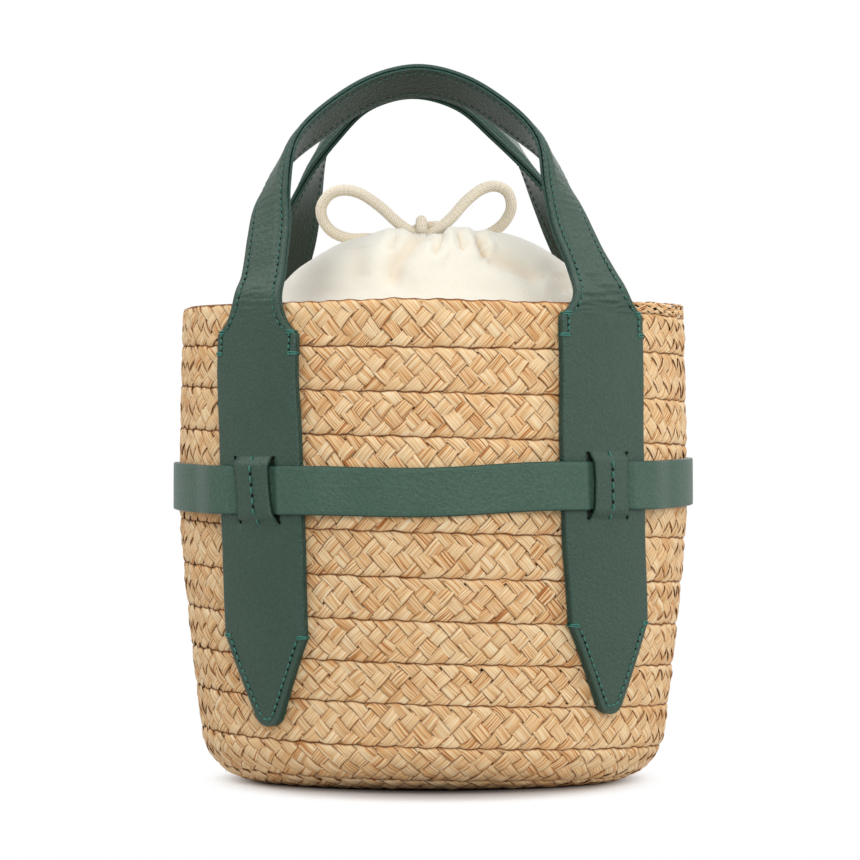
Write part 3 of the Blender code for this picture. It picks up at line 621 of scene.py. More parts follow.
def profile():
    """The wall's profile from above the rim to the middle of the base: its length from the rim,
    and there the inset, the height and the outward normal."""
    z = np.concatenate([np.linspace(TUB_HEIGHT + ABOVE_RIM, BASE_CORNER, WALL_STEPS)[:-1],
                        BASE_CORNER * (1.0 - np.sin(np.linspace(0.0, math.pi / 2, CORNER_STEPS)))])
    inset = TUB_WIDTH / 2 - half_axes(z, 0.0)[0]
    inset = np.concatenate([inset, np.linspace(inset[-1], TUB_DEPTH / 2, BASE_STEPS)[1:]])
    z = np.concatenate([z, np.zeros(BASE_STEPS - 1)])
    length = run_of(np.stack([inset, z], axis=1))
    slope_inset, slope_z = np.gradient(inset, length), np.gradient(z, length)
    rim = np.interp(-TUB_HEIGHT, -z[:WALL_STEPS], length[:WALL_STEPS])
    return length - rim, inset, z, slope_z, slope_inset


PROFILE = profile()


def tub(angle, down, out):
    """Points of the tub by angle, by length down the profile from the rim, and by the distance out
    along the profile's normal."""
    inset, z, normal_in, normal_up = (np.interp(down, PROFILE[0], values) for values in PROFILE[1:])
    inset = inset + out * normal_in
    points = [(TUB_WIDTH / 2 - inset) * np.cos(angle), (TUB_DEPTH / 2 - inset) * np.sin(angle)]
    return np.stack([*points, z - out * normal_up], axis=-1)


def row_edge(turn):
    """Length down the profile to the plait's upper edge, by turns from its end at the rim. Each row
    passes the middle of the front at its drop, with its own slant there. The rim itself follows a
    line of its own: behind the right tab it steps down, where the plait's thin end lies on it."""
    rows = len(ROW_DROPS) + BASE_ROWS
    last = ROW_DROPS[-1]
    drops = np.array([*ROW_DROPS, *(last + ROW_PITCH * (n + 1) for n in range(BASE_ROWS))])
    slants = np.array([*ROW_SLANTS, *[ROW_PITCH] * (rows - len(ROW_SLANTS))])
    front = np.arange(rows) + FRONT_TURN
    turns = np.stack([front - FRONT_SPAN, front + FRONT_SPAN], axis=1)
    edges = np.stack([drops - slants * FRONT_SPAN, drops + slants * FRONT_SPAN], axis=1)
    rim_turns, rim_drops = zip(*RIM)
    places, down = [*rim_turns, *turns[1:].ravel()], [*rim_drops, *edges[1:].ravel()]
    waves = sum(high * np.sin(TURN * count * turn + count) for count, high in ROW_WAVES)
    return np.interp(turn, places, down) + waves


def plait_course():
    """The plait's middle line: turns, length along it, length down the profile and half width."""
    turns = np.linspace(0.0, PLAIT_TURNS, int(PLAIT_TURNS * SPIRAL_STEPS))
    low, high = row_edge(turns + 1.0), row_edge(turns)
    line = tub(plait_angle(turns), (low + high) / 2, -PLAIT_DEPTH)
    return turns, run_of(line), (low + high) / 2, (low - high) / 2


def plait_angle(turns):
    """The spiral leaves the rim at the right tab of the front and goes round by the right side."""
    return -math.pi / 2 + TAB_ANGLE + TURN * turns


TURNS, COURSE, DOWN, HALF = plait_course()
print("plait:", round(COURSE[-1], 2), "m in", round(TURNS[-1], 1), "turns")

# %% [markdown]
# A strand is a flat ribbon with a rounded section. One ribbon could be copied hundreds of times, but
# straw is never even, so width, place, lift and roll wander along it by smooth random numbers.

# %% Strands
STRANDS = 5
PERIOD = 0.042
STRAND_WIDTH = 0.0066
EDGE_WIDTH = 0.90
EDGE_REACH = 0.10
ROW_GAP = 0.0002
STRAND_THICKNESS = 0.00045
LIFT = 0.0004
EDGE_SINK = 0.0005
ROW_CROWN = 0.0004
EDGE_FOLD = 0.0003
STRAND_STEP = PERIOD / 44
CORNER = 0.93
SECTION_ACROSS = np.array([-1.0, -0.9, -0.62, -0.3, 0.0, 0.3, 0.62, 0.9, 1.0, 0.6, 0.0, -0.6])
SECTION_RISE = np.array([0.0, 0.66, 0.94, 1.0, 1.0, 1.0, 0.94, 0.66, 0.0, -0.9, -1.0, -0.9]) / 2
CROSSINGS = np.array([0.0, 0.1, 0.4, 0.6, 0.9, 1.0])
CROSSING_PHASE = np.array([-0.5, 0.0, 3.0, 4.0, 7.0, 7.5]) * math.pi
WOBBLE_STEP = PERIOD / 5
WIDTH_WOBBLE = 0.13
PATH_WOBBLE = 0.0006
LIFT_WOBBLE = 0.2
ROLL_WOBBLE = 0.16
RIDGE = 0.00010
RIDGE_WAVES = 8.0
RIDGE_DRIFT = 5.0
SINK_POWER = 20
CROWN_POWER = 4
STRAND_SEED = 7.3
TURN_SEED = 3.1
UV_STRETCH = 1.2
luck = np.random.default_rng(11)


def wobble(length, knot_step):
    """Smooth random numbers from -1 to 1 along a length."""
    knots = np.arange(0.0, length[-1] + 2 * knot_step, knot_step)
    return np.interp(length, knots, luck.uniform(-1.0, 1.0, len(knots)))


def strand(number):
    """One strand: grid of points (stations by section), with its uv and its point values. With u
    the share of a period, it lies at v = V asin(k cos 2 pi u) / asin k across the plait, and
    at w = lift cos(phase(u)) out of it."""
    length = np.arange(0.0, COURSE[-1], STRAND_STEP)
    swing = length / PERIOD + number / STRANDS
    u = swing % 1.0
    turns = np.interp(length, COURSE, TURNS)
    half = np.interp(length, COURSE, HALF)
    size = np.minimum(1.0, half / (ROW_PITCH / 2))
    swell = 1.0 + WIDTH_WOBBLE * wobble(length, PERIOD / 6)
    width = STRAND_WIDTH * size * swell * (EDGE_WIDTH + (1.0 - EDGE_WIDTH) * np.sin(TURN * u) ** 2)
    reach = half + EDGE_REACH * STRAND_WIDTH * size
    scale = math.asin(CORNER)
    v = reach * np.arcsin(CORNER * np.cos(TURN * u)) / scale + PATH_WOBBLE * wobble(length, WOBBLE_STEP)
    bend = -CORNER * np.sin(TURN * u) / np.sqrt(1 - (CORNER * np.cos(TURN * u)) ** 2)
    slope = np.arctan(reach * bend * (TURN / PERIOD) / scale)
    w = LIFT * np.cos(np.interp(u, CROSSINGS, CROSSING_PHASE))
    w = w + LIFT_WOBBLE * LIFT * wobble(length, WOBBLE_STEP)
    roll = ROLL_WOBBLE * wobble(length, WOBBLE_STEP)
    across = SECTION_ACROSS[None, :] * width[:, None] / 2
    drift = RIDGE_DRIFT * wobble(length, PERIOD / 3)[:, None]
    ridges = RIDGE * np.sin(SECTION_ACROSS[None, :] * RIDGE_WAVES + drift) * (SECTION_RISE > 0.3)
    rise = SECTION_RISE[None, :] * STRAND_THICKNESS + ridges + across * roll[:, None]
    at = length[:, None] - across * np.sin(slope)[:, None]
    level = v[:, None] + across * np.cos(slope)[:, None]
    there = np.interp(at, COURSE, TURNS)
    limit = half[:, None] + ROW_GAP
    beyond = np.maximum(np.abs(level) - limit + EDGE_FOLD, 0.0)
    turned_in = np.sign(level) * (limit - EDGE_FOLD * np.exp(-beyond / EDGE_FOLD))
    level = np.where(beyond > 0, turned_in, level)
    sewn = np.abs(level / half[:, None])
    depth = np.clip((w[:, None] + rise + LIFT) / (2 * LIFT), 0.0, 1.0)
    out = w[:, None] + rise - EDGE_SINK * sewn**SINK_POWER - ROW_CROWN * sewn**CROWN_POWER
    points = tub(plait_angle(there), np.interp(at, COURSE, DOWN) - level, out - PLAIT_DEPTH)
    cell = np.floor(swing * 10 + 0.5).astype(int)
    cell = cell + np.isin(cell % 10, (0, 5))
    tone = luck.random(cell.max() + 1)[cell][:, None] + 0 * across
    rim = np.abs(SECTION_ACROSS)[None, :] + 0 * across
    uv = np.stack([UV_STRETCH * length[:, None] + 0 * across, across], axis=-1)
    return turns, points, uv, tone, depth, rim, sewn


def make_plait():
    """The strands cut into one piece for each turn of the spiral."""
    strands = [strand(number) for number in range(STRANDS)]
    ring = len(SECTION_ACROSS)
    made = []
    for turn in range(math.ceil(TURNS[-1])):
        parts, quads, count = [], [], 0
        for number, (turns, *grids) in enumerate(strands):
            picked = np.flatnonzero((turns >= turn) & (turns <= turn + 1))
            picked = np.arange(picked[0], min(picked[-1] + 2, len(turns)))
            quads.append(sweep_quads(len(picked), ring) + count)
            count += len(picked) * ring
            name = np.full((len(picked), ring), STRAND_SEED * number + TURN_SEED * turn)
            parts.append([grid[picked].reshape(-1, *grid.shape[2:]) for grid in grids] + [name.ravel()])
        points, uv, tone, depth, rim, sewn, name = (np.concatenate(column) for column in zip(*parts))
        piece = put(f"plait_turn_{turn + 1:02d}", points, np.concatenate(quads), straw_finish, "straw",
                    uv, tone=tone, depth=depth, rim=rim, sewn=sewn, strand=name)
        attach(piece, "bag")
        made.append(piece)
    return made


plait = make_plait()
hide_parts("basket_wall")
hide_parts("basket_base")
print("plait:", sum(len(piece.data.polygons) for piece in plait), "quads in", len(plait), "pieces")

# %% [markdown]
# Between the strands one looks into the plait's inside, which lies in shade. A thin dark lining skin
# at the plait's back stands in for that shade as painted shade, and keeps the pale cloth of the pouch
# from showing through. Its inner side is the wall that shows above the pouch, so there it is painted
# as paler straw in chevrons.

# %% The dark inside of the plait
INSIDE_COLUMNS = 120
INSIDE_ROWS = 90
INSIDE_THICKNESS = 0.0003
INSIDE_DEPTH = 0.0034
CHEVRONS = 86
CHEVRON_HEIGHT = 0.0046
CHEVRON_LEAN = 955.0
INSIDE_TOP = -0.0002
INSIDE_END = 0.001
GAP_SHADE_COLOURS = ((0.20, 0.090, 0.036), (0.38, 0.195, 0.085))
WALL_COLOURS = ((0.36, 0.165, 0.065), (0.78, 0.53, 0.28))


def paint_inside(wire):
    """Bands sin(n a + k p(z)) for the angle a round the tub and a triangle wave p of the height."""
    place = wire.place()
    x, y, z = (wire.axis(place, number) for number in range(3))
    lean = wire.maths("PINGPONG", z, CHEVRON_HEIGHT) * CHEVRON_LEAN
    bands = wire.maths("SINE", wire.maths("ARCTAN2", y, x) * CHEVRONS + lean)
    grain = wire.noise(place, 500.0)
    # Painted shade: the outer side, seen between the strands, is dark straw.
    dark = wire.mix(grain, *GAP_SHADE_COLOURS)
    pale = wire.mix(grain * 0.7 + bands * 0.35 + 0.15, *WALL_COLOURS)
    inner = wire.value("inner")
    return {"Base_Color": wire.mix(inner, dark, pale), "Normal": wire.bump(bands * inner, 0.0006, 0.6)}


inside_finish = finish("straw_in_shade", paint_inside, Roughness=0.9, Specular_IOR_Level=0.1)
angle = np.linspace(0.0, TURN, INSIDE_COLUMNS, endpoint=False)[None, :]
down = np.linspace(INSIDE_TOP, PROFILE[0][-1] - INSIDE_END, INSIDE_ROWS)[:, None]
shells = [tub(angle, rows + 0 * angle, np.full((INSIDE_ROWS, INSIDE_COLUMNS), -INSIDE_DEPTH + shift))
          for rows, shift in ((down[::-1], INSIDE_THICKNESS / 2), (down, -INSIDE_THICKNESS / 2))]
inside = put("plait_inside", np.concatenate(shells), sweep_quads(2 * INSIDE_ROWS, INSIDE_COLUMNS),
             inside_finish, "straw", inner=np.repeat([0.0, 1.0], INSIDE_ROWS * INSIDE_COLUMNS))
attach(inside, "bag")
print("inside of the plait:", len(inside.data.polygons), "quads")

# %% [markdown]
# Each handle is one long strip of leather, backed by a second one: a pointed tab on the left, the
# arch, and a pointed tab on the right. Seen as a surface it has a length and a width, so it is a
# grid of points: on the tabs they lie on the tub's skin, on the arch they follow a centre line with
# a direction across and a normal, and in the neck between them one turns into the other.

# %% Leather
LEATHER = (0.0225, 0.0535, 0.035)
LEATHER_LIGHT = (0.037, 0.078, 0.0535)
BELT_LEATHER = (0.041, 0.088, 0.061)
BELT_LIGHT = (0.063, 0.122, 0.088)
LINING = (0.026, 0.034, 0.025)
LINING_LIGHT = (0.038, 0.047, 0.036)
EDGE_PAINT = (0.012, 0.050, 0.036)


def paint_leather(colour, light):
    """Smooth leather: a fine grain, cloudy colour, wrinkles where it bends and painted edges."""
    def paint(wire):
        place = wire.place()
        grain = wire.node("TexVoronoi", {"feature": "SMOOTH_F1"}, {"Vector": place, "Scale": 1000.0})
        pores = wire.noise(place, 2200.0)
        cloud = wire.noise(place, 55.0, 4.0)
        uneven = wire.noise(place, 620.0, 3.0)
        crease = wire.noise(wire.spread(place, 60.0, 60.0, 420.0), 1.0, 3.0)
        bent = wire.value("bend")
        mottle = (grain - 0.4) * 0.9 + (uneven - 0.5) * 1.0 + (pores - 0.5) * 0.9
        tone = cloud * 0.7 + bent * (crease - 0.35) * 0.9 + mottle
        edge = wire.value("edge")
        skin_colour = wire.mix(tone, colour, light)
        relief = grain * 0.7 + pores * 0.4 + uneven * 1.1 + bent * crease * 2.0
        return {"Base_Color": wire.mix(edge, skin_colour, EDGE_PAINT),
                "Roughness": 0.50 - 0.08 * pores - 0.12 * edge,
                "Normal": wire.bump(relief, 0.0004, 0.8)}
    return paint


leather_finish = finish("green_leather", paint_leather(LEATHER, LEATHER_LIGHT), Specular_IOR_Level=0.40)
belt_finish = finish("belt_leather", paint_leather(BELT_LEATHER, BELT_LIGHT), Specular_IOR_Level=0.28)
lining_finish = finish("dark_lining_leather", paint_leather(LINING, LINING_LIGHT),
                       Specular_IOR_Level=0.3)

print("leather:", len(leather_finish.node_tree.nodes), "shader nodes")

# %% [markdown]
# A handle stands up from the rim, leans to the middle and turns its flat side outwards at the top. A
# curve with a bevel would twist as it likes. Here the centre line, the outward normal and the
# direction across are worked out together, so that the strap turns where the real one does.

# %% The handle's course
CLEARANCE = 0.0003
TAB_WIDTH = 0.040
TAB_LIFTS = (-0.0005, 0.0045)
TAB_STRAY = (
    ((0.027, 0.0012), (0.065, 0.0014), (0.107, 0.0031), (0.144, 0.0019), (0.170, 0.0), (0.190, 0.0)),
    ((0.027, -0.0086), (0.065, -0.0064), (0.083, -0.0041), (0.107, -0.0008), (0.144, 0.0004),
     (0.170, 0.0), (0.190, 0.0)),
)
FLARE_LIFTS = (-0.0005, 0.0070)
BELT_LIFTS = (-0.0005, 0.0014)
STRAY_STEP = 0.0005
TAB_TIP_HEIGHT = 0.027
TAB_SHOULDER = TAB_TIP_HEIGHT + 0.037
TAB_TIP_RADIUS = 0.0065
FLARE_START = TUB_HEIGHT - 0.0125
FLARE_LENGTH = 0.0065
TAB_LEVELS = {"outer": (0.0020, 0.0039), "lining": (0.0003, 0.0017)}
STRAP_MID = 0.0021
STRAP_WIDTH = 0.021
STRAP_LEVELS = {"outer": (-0.0007, 0.0010), "lining": (-0.0023, -0.0010)}
PADDING = 0.0013
PADDING_EDGE = (0.0078, 0.0056)
PADDING_START = -0.006
PADDING_RUN = 0.02
HINGE_HEIGHT = TUB_HEIGHT + 0.0015
NECK_HALF = 0.012
TAB_TOP = HINGE_HEIGHT - NECK_HALF
LEG_START = HINGE_HEIGHT + NECK_HALF
HANDLE_RISE = 0.0945
HANDLE_GAP = 0.004
ARCH = (
    (1.000, -0.13), (0.995, 0.00), (0.957, 0.113), (0.893, 0.296), (0.847, 0.469),
    (0.745, 0.673), (0.532, 0.829), (0.280, 0.950), (0.0, 1.0),
)
TURN_START, TURN_END = 0.25, 0.85
HANDLES = {"front": (-0.0059, 0.50, 0.0), "back": (-0.0087, 1.0, 0.16)}


def tab_pace(z):
    """Length along a tab's skin for each radian of the oval's angle."""
    half_width, half_depth = half_axes(z, STRAP_MID)
    return np.hypot(half_width * math.cos(TAB_ANGLE), half_depth * math.sin(TAB_ANGLE))


def by_side(side, pair):
    """The left or the right one of two values."""
    return np.where(np.asarray(side) < 0, pair[0], pair[1])


def tab_middle(side, z):
    """Angle of a tab's centre line from the middle of its face. The tabs were sewn on by hand, so
    each strays a little from its line, on a smooth curve through a few heights."""
    curves = [smooth_route(heights, STRAY_STEP) for heights in TAB_STRAY]
    shift = by_side(side, [np.interp(z, curve[:, 0], curve[:, 1]) for curve in curves])
    return TAB_ANGLE - shift / tab_pace(z)


def wall_strip(side, u, z, out):
    """Points of a front tab's skin: u runs along the wall from the tab's centre line towards the
    middle of the bag, and side is -1 on the left and 1 on the right."""
    return skin(-math.pi / 2 + side * (tab_middle(side, z) - u / tab_pace(z)), z, out)


def to_face(points, face):
    """Front points as they are, or turned over to the back of the bag."""
    return points if face == "front" else points * np.array([1.0, -1.0, 1.0])


def handle_path(skew, skew_reach, pinch):
    """Centre line of a front handle from its left foot to its right, with the strap's outward
    normal and the direction across its width. It leans aside by the skew up to a share of its rise,
    and its legs draw together as sin(pi h^2)."""
    foot = wall_strip(1, 0.0, np.float64(HINGE_HEIGHT), np.float64(STRAP_MID))
    sway = -foot[1] - (HANDLE_GAP + STRAP_WIDTH) / 2
    lean = math.atan2(sway, HANDLE_RISE)
    shares = np.array(ARCH)
    up = np.maximum(shares[:, 1], 0.0)
    half = foot[0] * shares[:, 0] * (1.0 - pinch * np.sin(math.pi * up**2))
    drift = skew * ease(up / skew_reach)
    legs = [np.stack([side * half + drift, foot[1] + up * sway,
                      HINGE_HEIGHT + shares[:, 1] * HANDLE_RISE], axis=1) for side in (-1, 1)]
    centre = smooth_route(np.vstack([legs[0], legs[1][-2::-1]]), STRAP_WIDTH / 10)
    along = unit(np.gradient(centre, axis=0))
    rise = (centre[:, 2] - HINGE_HEIGHT) / HANDLE_RISE
    tilt = lean * ease(rise / TURN_START)
    facing = np.stack([np.zeros_like(tilt), -np.cos(tilt), np.sin(tilt)], axis=1)
    facing = unit(facing - along * np.sum(facing * along, axis=1, keepdims=True))
    radial = np.cross(facing, along)
    half_width, half_depth = half_axes(TUB_HEIGHT, 0.0)
    slant = math.atan2(math.sin(TAB_ANGLE) / half_width, math.cos(TAB_ANGLE) / half_depth)
    turn = slant + (math.pi / 2 - slant) * ease((rise - TURN_START) / (TURN_END - TURN_START))
    normal = np.cos(turn)[:, None] * facing + np.sin(turn)[:, None] * radial
    return centre, normal, np.cross(along, normal)


# %% [markdown]
# Tip, tab, neck and arch are rows of one grid, so that no joint shows between them. Rows lie close
# together where the outline turns, and far apart where it is straight.

# %% The strip as a grid
BELT_HEIGHT = 0.124
BELT_WIDTH = 0.020
BELT_THICKNESS = 0.0020
SLIT_PLACE = 0.0095
SLIT_HALF = 0.0012
SLIT_HOLE = 0.0011
SLIT_REACH = 0.0140
SLIT_SLANTS = (-0.075, -0.02)
SLIT_BOW = 0.0010
SLIT_LIPS = 0.004
SLIT_FLAT = 0.0095
SLIT_ENDS = np.array([1.0, 0.985, 0.95, 0.90, 0.84, 0.77])
BRIDGE_RAISE = 0.0026
BRIDGE_FLAT = 0.0103
EDGE_ROUND = 0.0006
EDGE_PAINTED = 0.0004
UNDER_PAINTED = 0.35
STITCH_INSET = 0.0028
CHANNEL = 0.00025
CHANNEL_WIDTH = 0.0006
SEAM_LOW = FLARE_START - 0.0078
WRINKLE = 0.00034
WRINKLE_FADE = 0.006
NECK_CREASES = (0.6, 1.1)
NECK_PLACE = 0.2035
NECK_REACH = 0.009
LEG_CREASES = 0.35
LEG_PLACE = 0.240
LEG_REACH = 0.022
TIP_TURN = (math.radians(5), math.radians(70))
TAB_ROWS = {"tip": 7, "point": 12, "side": 14, "slit": 9, "neck": 50}
SHARES = np.array(
    [1.0, 0.985, 0.955, 0.90, 0.867, 0.83, 0.73, 0.64, 0.55, 0.46, 0.44, 0.33, 0.17, 0.0]
)
SHARES = np.concatenate([-SHARES, SHARES[-2::-1]])
SLIT_COLUMNS = (9, 16)
ARCH_STEP = 5


def tab_half(side, z):
    """Half width of a tab: a round tip, a straight point, parallel sides, and a flare that narrows
    to the strap as e^-h. Heights are the tab's own, without the lift it is sewn at."""
    above = np.maximum(z - by_side(side, FLARE_LIFTS) - FLARE_START, 0.0)
    z = z - by_side(side, TAB_LIFTS)
    half, middle = TAB_WIDTH / 2, TAB_TIP_HEIGHT + TAB_TIP_RADIUS
    reach = math.hypot(half, TAB_SHOULDER - middle)
    tangent = math.atan2(half, TAB_SHOULDER - middle) + math.acos(TAB_TIP_RADIUS / reach)
    join = (middle + TAB_TIP_RADIUS * math.cos(tangent), TAB_TIP_RADIUS * math.sin(tangent))
    tip = np.sqrt(np.clip(TAB_TIP_RADIUS**2 - (z - middle) ** 2, 0.0, None))
    point = np.interp(z, [join[0], TAB_SHOULDER], [join[1], half])
    narrow = STRAP_WIDTH / 2
    flare = narrow + (half - narrow) * np.exp(-above / FLARE_LENGTH)
    return np.where(z < join[0], tip, np.where(z < TAB_SHOULDER, point, flare))


def tab_heights(side):
    """Heights of a tab's rows, close together at the tip, at the slits and at the shoulders."""
    lift = float(by_side(side, TAB_LIFTS))
    turn = np.linspace(*TIP_TURN, TAB_ROWS["tip"])
    tip = TAB_TIP_HEIGHT + TAB_TIP_RADIUS * (1.0 - np.cos(turn)) + lift
    end = SLIT_ENDS * SLIT_REACH
    slit = np.concatenate([-end, np.linspace(-SLIT_FLAT, SLIT_FLAT, TAB_ROWS["slit"]), end[::-1]])
    slit = slit + BELT_HEIGHT + float(by_side(side, BELT_LIFTS))
    shoulder, flare = TAB_SHOULDER + lift, FLARE_START + float(by_side(side, FLARE_LIFTS))
    return np.concatenate([
        tip, np.linspace(tip[-1], shoulder, TAB_ROWS["point"])[1:],
        np.linspace(shoulder, slit[0], TAB_ROWS["side"])[1:-1], slit,
        np.linspace(slit[-1], flare, TAB_ROWS["side"])[1:],
        np.linspace(flare, LEG_START, TAB_ROWS["neck"])[1:],
    ])


def strip_rows(face):
    """What each row of a handle's strip needs, from the left tip to the right: its side, its height
    on the wall, how far it has turned from wall to strap, its half width, and the strap's frame."""
    centre, normal, across = handle_path(*HANDLES[face])
    middle = len(centre) // 2
    legs = []
    for side, leg in ((-1, slice(None, middle)), (1, slice(None, middle, -1))):
        z = tab_heights(side)
        heights = centre[leg, 2]
        frames = [np.stack([np.interp(z, heights, values[leg, axis]) for axis in range(3)], axis=1)
                  for values in (centre, normal, across)]
        turned = ease((z - TAB_TOP) / (LEG_START - TAB_TOP))
        legs.append([np.full(len(z), side), z, turned, tab_half(side, z), *frames])
    free = np.flatnonzero(centre[:, 2] > LEG_START + STRAP_WIDTH / 20)
    count = (len(free) - 1) * ARCH_STEP // 2
    places = np.linspace(free[0], free[-1], count)
    steps = np.arange(len(centre))
    frames = [np.stack([np.interp(places, steps, values[:, axis]) for axis in range(3)], axis=1)
              for values in (centre, normal, across)]
    side, z = np.where(places < middle, -1, 1), frames[0][:, 2]
    arch = [side, z, np.ones(count), tab_half(side, z), *frames]
    columns = zip(legs[0], arch, [values[::-1] for values in legs[1]])
    return [np.concatenate(column) for column in columns]


def on_strip(rows, u, wall_level, strap_level):
    """Points at u across the strip: on the tub's skin, on the strap, or turning between them."""
    side, z, turned, _, centre, normal, across = rows
    wall = wall_strip(side[:, None], u, z[:, None], wall_level)
    strap = centre[:, None] + across[:, None] * u[..., None] + normal[:, None] * strap_level[..., None]
    return wall * (1.0 - turned[:, None, None]) + strap * turned[:, None, None]


# %% [markdown]
# The slits for the belt could be cut with a boolean. Moving two columns of the grid to a slit's lips
# and leaving out the cells between them keeps the mesh clean. The leather between two slits arches
# over the belt, and where the strip bends at the rim it creases.

# %% Slits, bridges and wrinkles
def from_belt(side, z):
    """Height above the belt's middle where it passes a tab."""
    return z - BELT_HEIGHT - by_side(side, BELT_LIFTS)


def slit_gap(above):
    """Half the width of a slit: straight along the belt, then narrowing to a round punched end."""
    far = np.abs(above)
    end = SLIT_REACH - SLIT_HOLE
    hole = np.sqrt(np.clip(SLIT_HOLE**2 - (far - end) ** 2, 0.0, None))
    lips = 0.5 * SLIT_HOLE + (SLIT_HALF - 0.5 * SLIT_HOLE) * ease((end - far) / SLIT_LIPS)
    return np.where(far > end, hole, np.maximum(lips, hole))


def slit_shift(side, above):
    """How far the bridge and its slits stray to the side: they are cut at a slant."""
    return by_side(side, SLIT_SLANTS) * above


def bridge_lift(above):
    """How far the leather between the slits stands up over the belt."""
    return BRIDGE_RAISE * ease((SLIT_REACH - np.abs(above)) / (SLIT_REACH - BRIDGE_FLAT))


def wrinkles(rows, u):
    """Small creases across the leather where it bends at the rim and on the legs: waves along the
    strip whose lines wander across it."""
    z = rows[1][:, None]
    side = rows[0][:, None]
    neck = by_side(side, NECK_CREASES) * np.exp(-((z - NECK_PLACE) / NECK_REACH) ** 2)
    bent = neck + LEG_CREASES * np.exp(-((z - LEG_PLACE) / LEG_REACH) ** 2)
    wander = 0.9 * np.sin(u * 260 + 2 * side) + 0.7 * np.sin(u * 480 + z * 300)
    waves = np.sin(z * 2600 + wander) * np.sin(z * 410 - u * 170 + side)
    waves = waves + 0.6 * np.sin(z * 1700 - wander)
    edge = ease((rows[3][:, None] - np.abs(u)) / WRINKLE_FADE)
    return WRINKLE * bent * waves * edge, np.clip(bent, 0.0, 1.0) + 0 * u


def strip_grid(rows, layer):
    """Both faces of one layer of a handle, the cells that are kept, and its point values."""
    side, z, turned, half = rows[:4]
    u = SHARES[None, :] * half[:, None]
    above = from_belt(side, z)
    in_slit = np.abs(above) <= SLIT_REACH + CLEARANCE
    cut = np.zeros((len(z) - 1, len(SHARES) - 1), bool)
    lift = np.zeros_like(u)
    if layer == "outer":
        gap = slit_gap(above)
        bow = SLIT_BOW * (1.0 - (above / SLIT_REACH) ** 2)
        for first in SLIT_COLUMNS:
            sign = np.sign(SHARES[first])
            middle = sign * (SLIT_PLACE - bow) + slit_shift(side, above)
            for column, way in ((first, -1), (first + 1, 1)):
                u[in_slit, column] = (middle + way * gap)[in_slit]
            cut[in_slit[:-1] & in_slit[1:], first] = True
        between = np.zeros(len(SHARES), bool)
        between[SLIT_COLUMNS[0] + 1:SLIT_COLUMNS[1] + 1] = True
        lift = np.where(between[None, :], bridge_lift(above)[:, None], 0.0)
    inset = half[:, None] - np.abs(u)
    rounded = np.clip(EDGE_ROUND - inset, 0.0, EDGE_ROUND)
    round_off = EDGE_ROUND - np.sqrt(EDGE_ROUND**2 - rounded**2)
    sewn = (z - by_side(side, FLARE_LIFTS) > SEAM_LOW) | (z - by_side(side, TAB_LIFTS) < TAB_SHOULDER)
    channel = CHANNEL * np.exp(-((inset - STITCH_INSET) / CHANNEL_WIDTH) ** 2) * sewn[:, None]
    waves, bend = wrinkles(rows, u)
    low, high = TAB_LEVELS[layer]
    strap_low, strap_high = STRAP_LEVELS[layer]
    raised = padding(rows, u) if layer == "outer" else 0.0 * u
    trims = ((high, strap_high, waves - round_off - channel), (low, strap_low, 0.6 * round_off))
    faces = [on_strip(rows, u, wall + lift + trim, strap + raised + trim)
             for wall, strap, trim in trims]
    return faces, ~cut, bend, (inset < EDGE_PAINTED) * 1.0


# %% [markdown]
# The outer leather of the arch is raised by the felt under it, and sewn flat along its edges. Each
# layer is one closed sheet that is blended from the bag to the handle over the necks.

# %% The leathers of a handle
def padding(rows, u):
    """How far the felt raises the middle of the strap: nothing on the tabs and at the edges."""
    across = ease((PADDING_EDGE[0] - np.abs(u)) / (PADDING_EDGE[0] - PADDING_EDGE[1]))
    return PADDING * across * ease((rows[1][:, None] - LEG_START - PADDING_START) / PADDING_RUN)


def strip_piece(face, layer, rows, material, slot):
    """One layer of a handle as a closed sheet that bends at its two necks."""
    faces, kept, bend, edge = strip_grid(rows, layer)
    points = np.concatenate([to_face(grid, face).reshape(-1, 3) for grid in faces])
    under = np.concatenate([edge.ravel(), np.maximum(edge, UNDER_PAINTED).ravel()])
    piece = put(f"{face}_handle_{layer}", points, plate_quads(kept), material, slot,
                bend=np.tile(bend.ravel(), 2), edge=under)
    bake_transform(piece)
    return piece


strips = {face: strip_rows(face) for face in HANDLES}
for face, rows in strips.items():
    outer = strip_piece(face, "outer", rows, leather_finish, "leather")
    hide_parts(f"{face}_handle_strap", *(f"{face}_{hand}_{node}" for hand in ("left", "right")
                                                 for node in ("tab", "neck")))
    lining = strip_piece(face, "lining", rows, lining_finish, "lining")
    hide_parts(f"{face}_handle_lining",
                *(f"{face}_{hand}_tab_lining" for hand in ("left", "right")))
    print(face, "handle:", len(rows[0]), "rows by", len(SHARES), "columns")

# %% [markdown]
# Under the arch of each handle lies a strip of felt, closed in between the two leathers. Its solid
# has the right shape already, so it stays and gets a felt finish.

# %% Felt in the handles
FELT = (0.36, 0.31, 0.24)
FELT_LIGHT = (0.52, 0.47, 0.38)


def paint_felt(wire):
    fluff = wire.noise(wire.place(), 900.0, 4.0)
    return {"Base_Color": wire.mix(fluff, FELT, FELT_LIGHT),
            "Normal": wire.bump(fluff, 0.0003, 0.6)}


felt_finish = finish("felt", paint_felt, Roughness=0.95, Specular_IOR_Level=0.1)
for face in HANDLES:
    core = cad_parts[f"{face}_handle_core"]
    core.data.materials.clear()
    core.data.materials.append(felt_finish)
    print(face, "felt:", len(core.data.polygons), "triangles")
